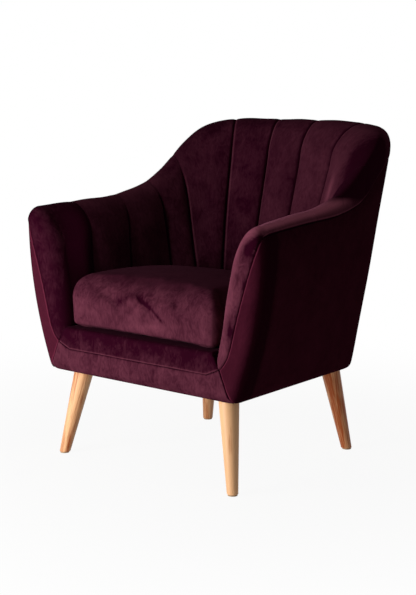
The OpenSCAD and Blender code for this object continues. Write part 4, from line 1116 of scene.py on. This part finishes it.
# A grid over the whole outline; points near a hole's edge move on to it, and quads inside it are left out
cols, rows = 133, 112
y = np.linspace(dust_front_y, dust_rear_y, rows)[:, None]
half = front_hw - base_slope * (y - front_ref_y) - dust_margin
half = half * (1 - unit((y - dust_round_y) / (dust_rear_y + 0.5 - dust_round_y)) ** 9) ** (1 / 9)
x = np.linspace(-1, 1, cols)[None, :] * half
points = np.stack([x, y + 0 * x, dust_z + 0 * x], -1)
within = np.zeros((rows, cols), bool)
for foot, lean in ((front_foot, front_lean), (rear_foot, rear_lean)):
    for way in (-1, 1):
        middle = (foot + lean * dust_z / base_h) * [way, 1]
        gap = points[..., :2] - middle
        off = np.linalg.norm(gap, axis=-1)
        snap = (off < hole_r + snap_out) & (off > hole_r - snap_in)
        points[..., :2] = np.where(snap[..., None], middle + gap / off[..., None] * hole_r, points[..., :2])
        within |= (off < hole_r + snap_out)
cloth = quads(np.arange(rows * cols).reshape(rows, cols))
used, faces = np.unique(cloth[~within.ravel()[cloth].all(1)], return_inverse=True)
flat = points.reshape(-1, 3)[used]
slack = 0.5 * np.sin(flat[:, 0] / 23) * np.sin(flat[:, 1] / 31)
flat[:, 2] += slack * unit((150 - np.abs(flat[:, 0])) / 60)
dust = place("dust_cloth", flat, faces.reshape(-1, 4)[:, ::-1])
wall = dust.modifiers.new("cloth", "SOLIDIFY")
wall.thickness = dust_t * 0.001
wall.offset = 0
stands_for(dust, "dust_cover", black_nonwoven())


# The legs: four round tapered legs of light hardwood, turned, stained honey and sprayed with satin
# lacquer. Each leans out on its own line and is cut level at the floor and at the frame.
leg_top_d, leg_foot_d, glide_h = 47.0, 25.0, 3.0
# The foot's softened edge, as heights over its sole and how far in; the topmost ring lies end_in in
foot_rise, foot_in, end_in = np.array([0, 0, 0.1, 0.3, 0.6, 1.0]), [6, 1.0, 0.6, 0.25, 0.06, 0], 5


def honey_wood():
    """Lacquered hardwood: warm honey, fine darker grain lines about 2 mm apart, and a soft gloss.

    The grain follows each leg's own line, held as the attribute grain; a painted light and shade value makes
    each leg lighter or darker as the light falls on it."""
    m, tree, shader = new_material("honey_lacquered_wood")
    along = add(tree, "ShaderNodeAttribute", attribute_name="grain").outputs["Vector"]
    bands = add(tree, "ShaderNodeMapping", {0: along, "Scale": (90.0, 90.0, 5.0)})
    wide = add(tree, "ShaderNodeTexNoise", {"Vector": bands, "Scale": 1.0, "Detail": 2.0, "Distortion": 0.5})
    lines = add(tree, "ShaderNodeMapping", {0: along, "Scale": (420.0, 420.0, 9.0)})
    fine = add(tree, "ShaderNodeTexNoise", {"Vector": lines, "Scale": 1.0, "Detail": 3.0})
    both = add(tree, "ShaderNodeMix", {0: 0.4, 2: wide, 3: fine})
    share = add(tree, "ShaderNodeMapRange", {"Value": both, "From Min": 0.36, "From Max": 0.6})
    painted_leg_shading = add(tree, "ShaderNodeAttribute", attribute_name="painted_leg_shading").outputs["Fac"]
    lift = add(tree, "ShaderNodeMath", {0: share, 1: painted_leg_shading}, operation="ADD")
    held = add(tree, "ShaderNodeClamp", {0: lift})
    colour = add(tree, "ShaderNodeMix", {0: held, 6: "#b25216", 7: "#ffc691"}, data_type="RGBA")
    rough = add(tree, "ShaderNodeMapRange", {"Value": fine, "To Min": 0.36, "To Max": 0.5})
    bump = add(tree, "ShaderNodeBump", {"Height": fine, "Strength": 0.12, "Distance": 0.0004})
    feed(shader, {"Base Color": colour.outputs[2], "Roughness": rough, "Normal": bump,
                  "Specular IOR Level": 0.3, "Coat Weight": 0.06, "Coat Roughness": 0.3})
    return m


def tapered_leg(name, foot, lean, way, painted_lightness):
    """A cone on a leaning line, cut level at both ends with a 1 mm softened edge at the foot.

    Each ring is the cone's own level section: the distance along the line is worked out for every
    angle so that the ring's height is even."""
    axis = np.array([lean[0] * way, lean[1], base_h])
    axis = axis / np.linalg.norm(axis)
    u = np.cross([0, 1.0, 0], axis)
    u = u / np.linalg.norm(u)
    v = np.cross(axis, u)
    turn = np.radians(np.arange(0, 360, 5))[None, :, None]
    z = np.concatenate([glide_h + foot_rise, np.linspace(8, rail_z - 0.6, 40), [rail_z - 0.1, rail_z - 0.1]])
    r = (leg_foot_d + (leg_top_d - leg_foot_d) * z / base_h) / 2
    r[:6] -= foot_in
    r[-1] -= end_in
    out = (np.cos(turn) * u + np.sin(turn) * v) * r[:, None, None]
    s = (z[:, None] - out[..., 2]) / axis[2]
    o = closed_form(name, np.array([foot[0] * way, foot[1], 0]) + axis * s[..., None] + out)
    n = turn.size
    own = np.stack([out @ u, out @ v, s], -1).reshape(-1, 3)
    own = np.concatenate([own, own[:n].mean(0)[None], own[-n:].mean(0)[None]]) * 0.001
    # Each leg is cut from its own place in the wood
    own[:, 0] += 0.07 * (1 + foot[1] / 300) + 0.11 * way
    keep(o, "grain", own)
    # Painted light and shade: a leg is made lighter or darker by how the light falls on it
    keep(o, "painted_leg_shading", np.full(len(own), painted_lightness))
    return o


wood = honey_wood()
# The painted light and shade of each leg, right then left: lightest at the front right, darkest at the rear
# right
for end, foot, lean, painted_lightnesses in (("front", front_foot, front_lean, (0.6, 0.0)),
                               ("rear", rear_foot, rear_lean, (-0.4, -0.2))):
    for side, way, painted_lightness in zip(("_right", "_left"), (1, -1), painted_lightnesses):
        node = "leg_" + end + side
        stands_for(tapered_leg("turned_" + node, foot, lean, way, painted_lightness), node, wood)


# The fixings: a zinc-plated hanger bolt up through each corner block into a tee nut, and a moulded
# nylon glide pinned under each foot.
def zinc_plate():
    """Bright zinc plating: pale bluish grey metal, lightly mottled, half rough."""
    m, tree, shader = new_material("zinc_plate")
    where = add(tree, "ShaderNodeTexCoord").outputs["Object"]
    bloom = add(tree, "ShaderNodeTexNoise", {"Vector": where, "Scale": 250.0, "Detail": 3.0})
    colour = add(tree, "ShaderNodeMix", {0: bloom, 6: "#a9acad", 7: "#cfd1cf"}, data_type="RGBA")
    rough = add(tree, "ShaderNodeMapRange", {"Value": bloom, "To Min": 0.3, "To Max": 0.5})
    feed(shader, {"Base Color": colour.outputs[2], "Roughness": rough, "Metallic": 1.0})
    return m


def moulded_nylon():
    """Beige nylon, coloured near the wood: half matt, with a fine moulded grain of about 0.6 mm."""
    m, tree, shader = new_material("moulded_nylon")
    where = add(tree, "ShaderNodeTexCoord").outputs["Object"]
    grain = add(tree, "ShaderNodeTexNoise", {"Vector": where, "Scale": 1600.0, "Detail": 1.0})
    colour = add(tree, "ShaderNodeMix", {0: grain, 6: "#a98a68", 7: "#bd9e7a"}, data_type="RGBA")
    bump = add(tree, "ShaderNodeBump", {"Height": grain, "Strength": 0.3, "Distance": 0.0001})
    feed(shader, {"Base Color": colour.outputs[2], "Normal": bump, "Roughness": 0.55})
    return m


dress(["hanger_bolts", "tee_nuts"], zinc_plate())
dress(["foot_glides"], moulded_nylon())


# The seat cushion: a loose boxed cushion of foam in a fibre wrap, covered in the same velvet, with a
# soft waterfall front, a crown, and its zip underneath. It lies on the deck and lifts out.
cushion_h, crown, fall, corner_r = 120.0, 12.0, 24.0, 14.0
cushion_hw, cushion_front, cushion_rear = seat_hw - 7, front_d - 8, seat_back_y - 34
cushion_z, cushion_mid_y = deck_top + 0.3, -93.5
low_edge, top_edge_in, top_edge_down = 8, 32, 38
sewn_small, voxel, swell_limit = 2.5, 0.006, 0.009


def apply_modifiers(o):
    """Replaces the object's mesh by what its modifiers make of it."""
    made = bpy.data.meshes.new_from_object(o.evaluated_get(bpy.context.evaluated_depsgraph_get()))
    o.modifiers.clear()
    o.data = made


def mesh_points(o):
    """The points of a mesh as an array, in metres."""
    points = np.empty(len(o.data.vertices) * 3)
    o.data.vertices.foreach_get("co", points)
    return points.reshape(-1, 3)


def cushion_top(p):
    """The top's height: falls by a square towards the back, with a crown of two parabolas multiplied."""
    x, y = p[..., 0], p[..., 1]
    return (cushion_z + cushion_h - fall * np.clip((y + 187.5) / 280, 0, 1.2) ** 2
            + crown * (1 - (x / cushion_hw) ** 2) * np.maximum(0, 1 - ((y - cushion_mid_y) / 215) ** 2))


def cushion_edge():
    """The cushion's outline from above: round at the back like the deck, with round corners in front."""
    back = plan(around, cushion_hw, cushion_rear - pole_y, seat_power, 0, 0)
    low_y = -cushion_front
    side = np.stack([np.full(26, -cushion_hw), np.linspace(pole_y, low_y + corner_r, 27)[1:]], -1)
    turn = np.radians(np.linspace(0, 90, 13))[1:]
    corner = np.stack([-cushion_hw + corner_r - corner_r * np.cos(turn),
                       low_y + corner_r - corner_r * np.sin(turn)], -1)
    across = np.linspace(corner_r - cushion_hw, cushion_hw - corner_r, 43)[1:-1]
    front = np.stack([across, np.full(41, low_y)], -1)
    return np.concatenate([back, side, corner, front, (corner * [-1, 1])[::-1], (side * [-1, 1])[::-1]])


def cushion_rings(shrink):
    """Rings from the middle of the underside, round both edges, to the middle of the top.

    Both edges are quarter ellipses: 8 by 8 mm below, 32 by 38 mm above and 1.3 times that in front."""
    edge = cushion_edge()[None]
    middle = np.array([0, cushion_mid_y])
    soft = 1 + 0.3 * smooth((-edge[..., 1] - 228.5) / 60)
    turn = np.radians(np.linspace(0, 90, 9))[:, None]
    reach_in = np.linalg.norm(edge - middle, axis=-1)
    under_in = lerp(reach_in, low_edge + 0 * reach_in, np.linspace(0.03, 1, 12)[:-1, None])
    low_in = low_edge - low_edge * np.sin(turn) + 0 * soft
    low_up = low_edge - low_edge * np.cos(turn) + 0 * soft
    wall = np.linspace(0, 1, 10)[1:-1, None]
    top_in = top_edge_in * soft * (1 - np.cos(turn))
    top_down = top_edge_down * soft * (1 - np.sin(turn))
    over_in = lerp(top_edge_in * soft, reach_in, np.linspace(0, 0.97, 14)[1:, None])
    inset = np.concatenate([under_in, low_in, 0 * wall + 0 * soft, top_in, over_in]) + shrink
    inset = np.minimum(inset, reach_in * 0.985)
    p = edge + (middle - edge) * (inset / reach_in)[..., None]
    top = cushion_top(p) - shrink
    low = cushion_z + shrink
    first_wall, first_top = len(under_in) + len(low_in), len(under_in) + len(low_in) + len(wall)
    first_over = first_top + len(top_in)
    sides = lerp(low + low_edge, top[first_wall:first_top] - top_edge_down * soft, wall)
    return with_z(p, np.concatenate([low + 0 * under_in, low + low_up, sides,
                                     top[first_top:first_over] - top_down, top[first_over:]]))


def swelled(o, most):
    """Cloth simulation: the cover is sewn small and the filling presses it out evenly.

    Gravity is off and no point moves further than most, so that the cushion keeps its place."""
    voxels = o.modifiers.new("even", "REMESH")
    voxels.mode = "VOXEL"
    voxels.voxel_size = voxel
    apply_modifiers(o)
    before = mesh_points(o)
    cloth = o.modifiers.new("cloth", "CLOTH").settings
    cloth.quality = 5
    cloth.mass = 0.3
    cloth.tension_stiffness = cloth.compression_stiffness = 15
    cloth.shear_stiffness = 5
    cloth.bending_stiffness = 4.0
    cloth.use_pressure = True
    cloth.uniform_pressure_force = 4
    cloth.effector_weights.gravity = 0
    for step in range(1, 21):
        scene.frame_set(step)
    apply_modifiers(o)
    scene.frame_set(1)
    moved = mesh_points(o) - before
    length = np.linalg.norm(moved, axis=1, keepdims=True)
    return before + moved * np.minimum(1, most / np.maximum(length, 1e-9))


# Swelled, then kept on the deck and inside the channels, and made finer once
cushion = closed_form("seat_cushion_soft", cushion_rings(sewn_small))
p = swelled(cushion, swell_limit) * 1000
limit_x = cushion_hw + 1.0
angle = np.degrees(np.arctan2(p[:, 1] - pole_y, p[:, 0])) % 360
limit = plan(angle, limit_x, cushion_rear + 1 - pole_y, seat_power, 0, 0)
p[:, 2] = np.maximum(p[:, 2], cushion_z)
p[:, 0] = np.clip(p[:, 0], -limit_x, limit_x)
p[:, 1] = np.maximum(p[:, 1], -cushion_front - 4)
out = np.hypot(p[:, 0], p[:, 1] - pole_y)
most_out = np.hypot(limit[:, 0], limit[:, 1] - pole_y)
pull = np.where((p[:, 1] > pole_y) & (out > most_out), most_out / out, 1)
p[:, 0] *= pull
p[:, 1] = pole_y + (p[:, 1] - pole_y) * pull
cushion.data.vertices.foreach_set("co", (p * 0.001).ravel())
cushion.data.update()
finer = cushion.modifiers.new("finer", "SUBSURF")
finer.levels = finer.render_levels = 1
apply_modifiers(cushion)
p = mesh_points(cushion) * 1000
cloth_lines(cushion, p[:, 0] * 0.001, (p[:, 2] + np.maximum(p[:, 1] + cushion_front, 0)) * 0.001)
cushion.data.polygons.foreach_set("use_smooth", np.ones(len(cushion.data.polygons), bool))
top_share = smooth((p[:, 2] - 395) / 40) * smooth((p[:, 1] + 290) / 40)
# Painted shade: the top and the upper part of the front are darker
pile_and_shading = -0.06 * top_share - 0.08 * smooth((p[:, 2] - 375) / 40)
# Strokes a hand has left on the front, as x, z, slope in degrees, half length, half width and how much
strokes = [(58, 374, -39, 30, 5, -0.24), (26, 392, -30, 26, 5, -0.2), (-18, 384, 42, 22, 6, -0.14),
           (8, 400, -20, 22, 4, -0.16), (-52, 398, 20, 34, 9, -0.12), (36, 372, -48, 20, 5, -0.14),
           (112, 398, -58, 34, 9, -0.1), (30, 346, 8, 80, 9, 0.1)]
for x, z, slope, long, wide, much in strokes:
    a, b = math.cos(math.radians(slope)), math.sin(math.radians(slope))
    u, v = (p[:, 0] - x) * a + (p[:, 2] - z) * b, (p[:, 2] - z) * a - (p[:, 0] - x) * b
    pile_and_shading = pile_and_shading + much * bell(u / long, v / wide) * (p[:, 1] < -250)
finish_soft(cushion, inside_velvet, "seat_cushion", 0.85, nap=pile_and_shading, mottled=0.9 - 0.7 * top_share)
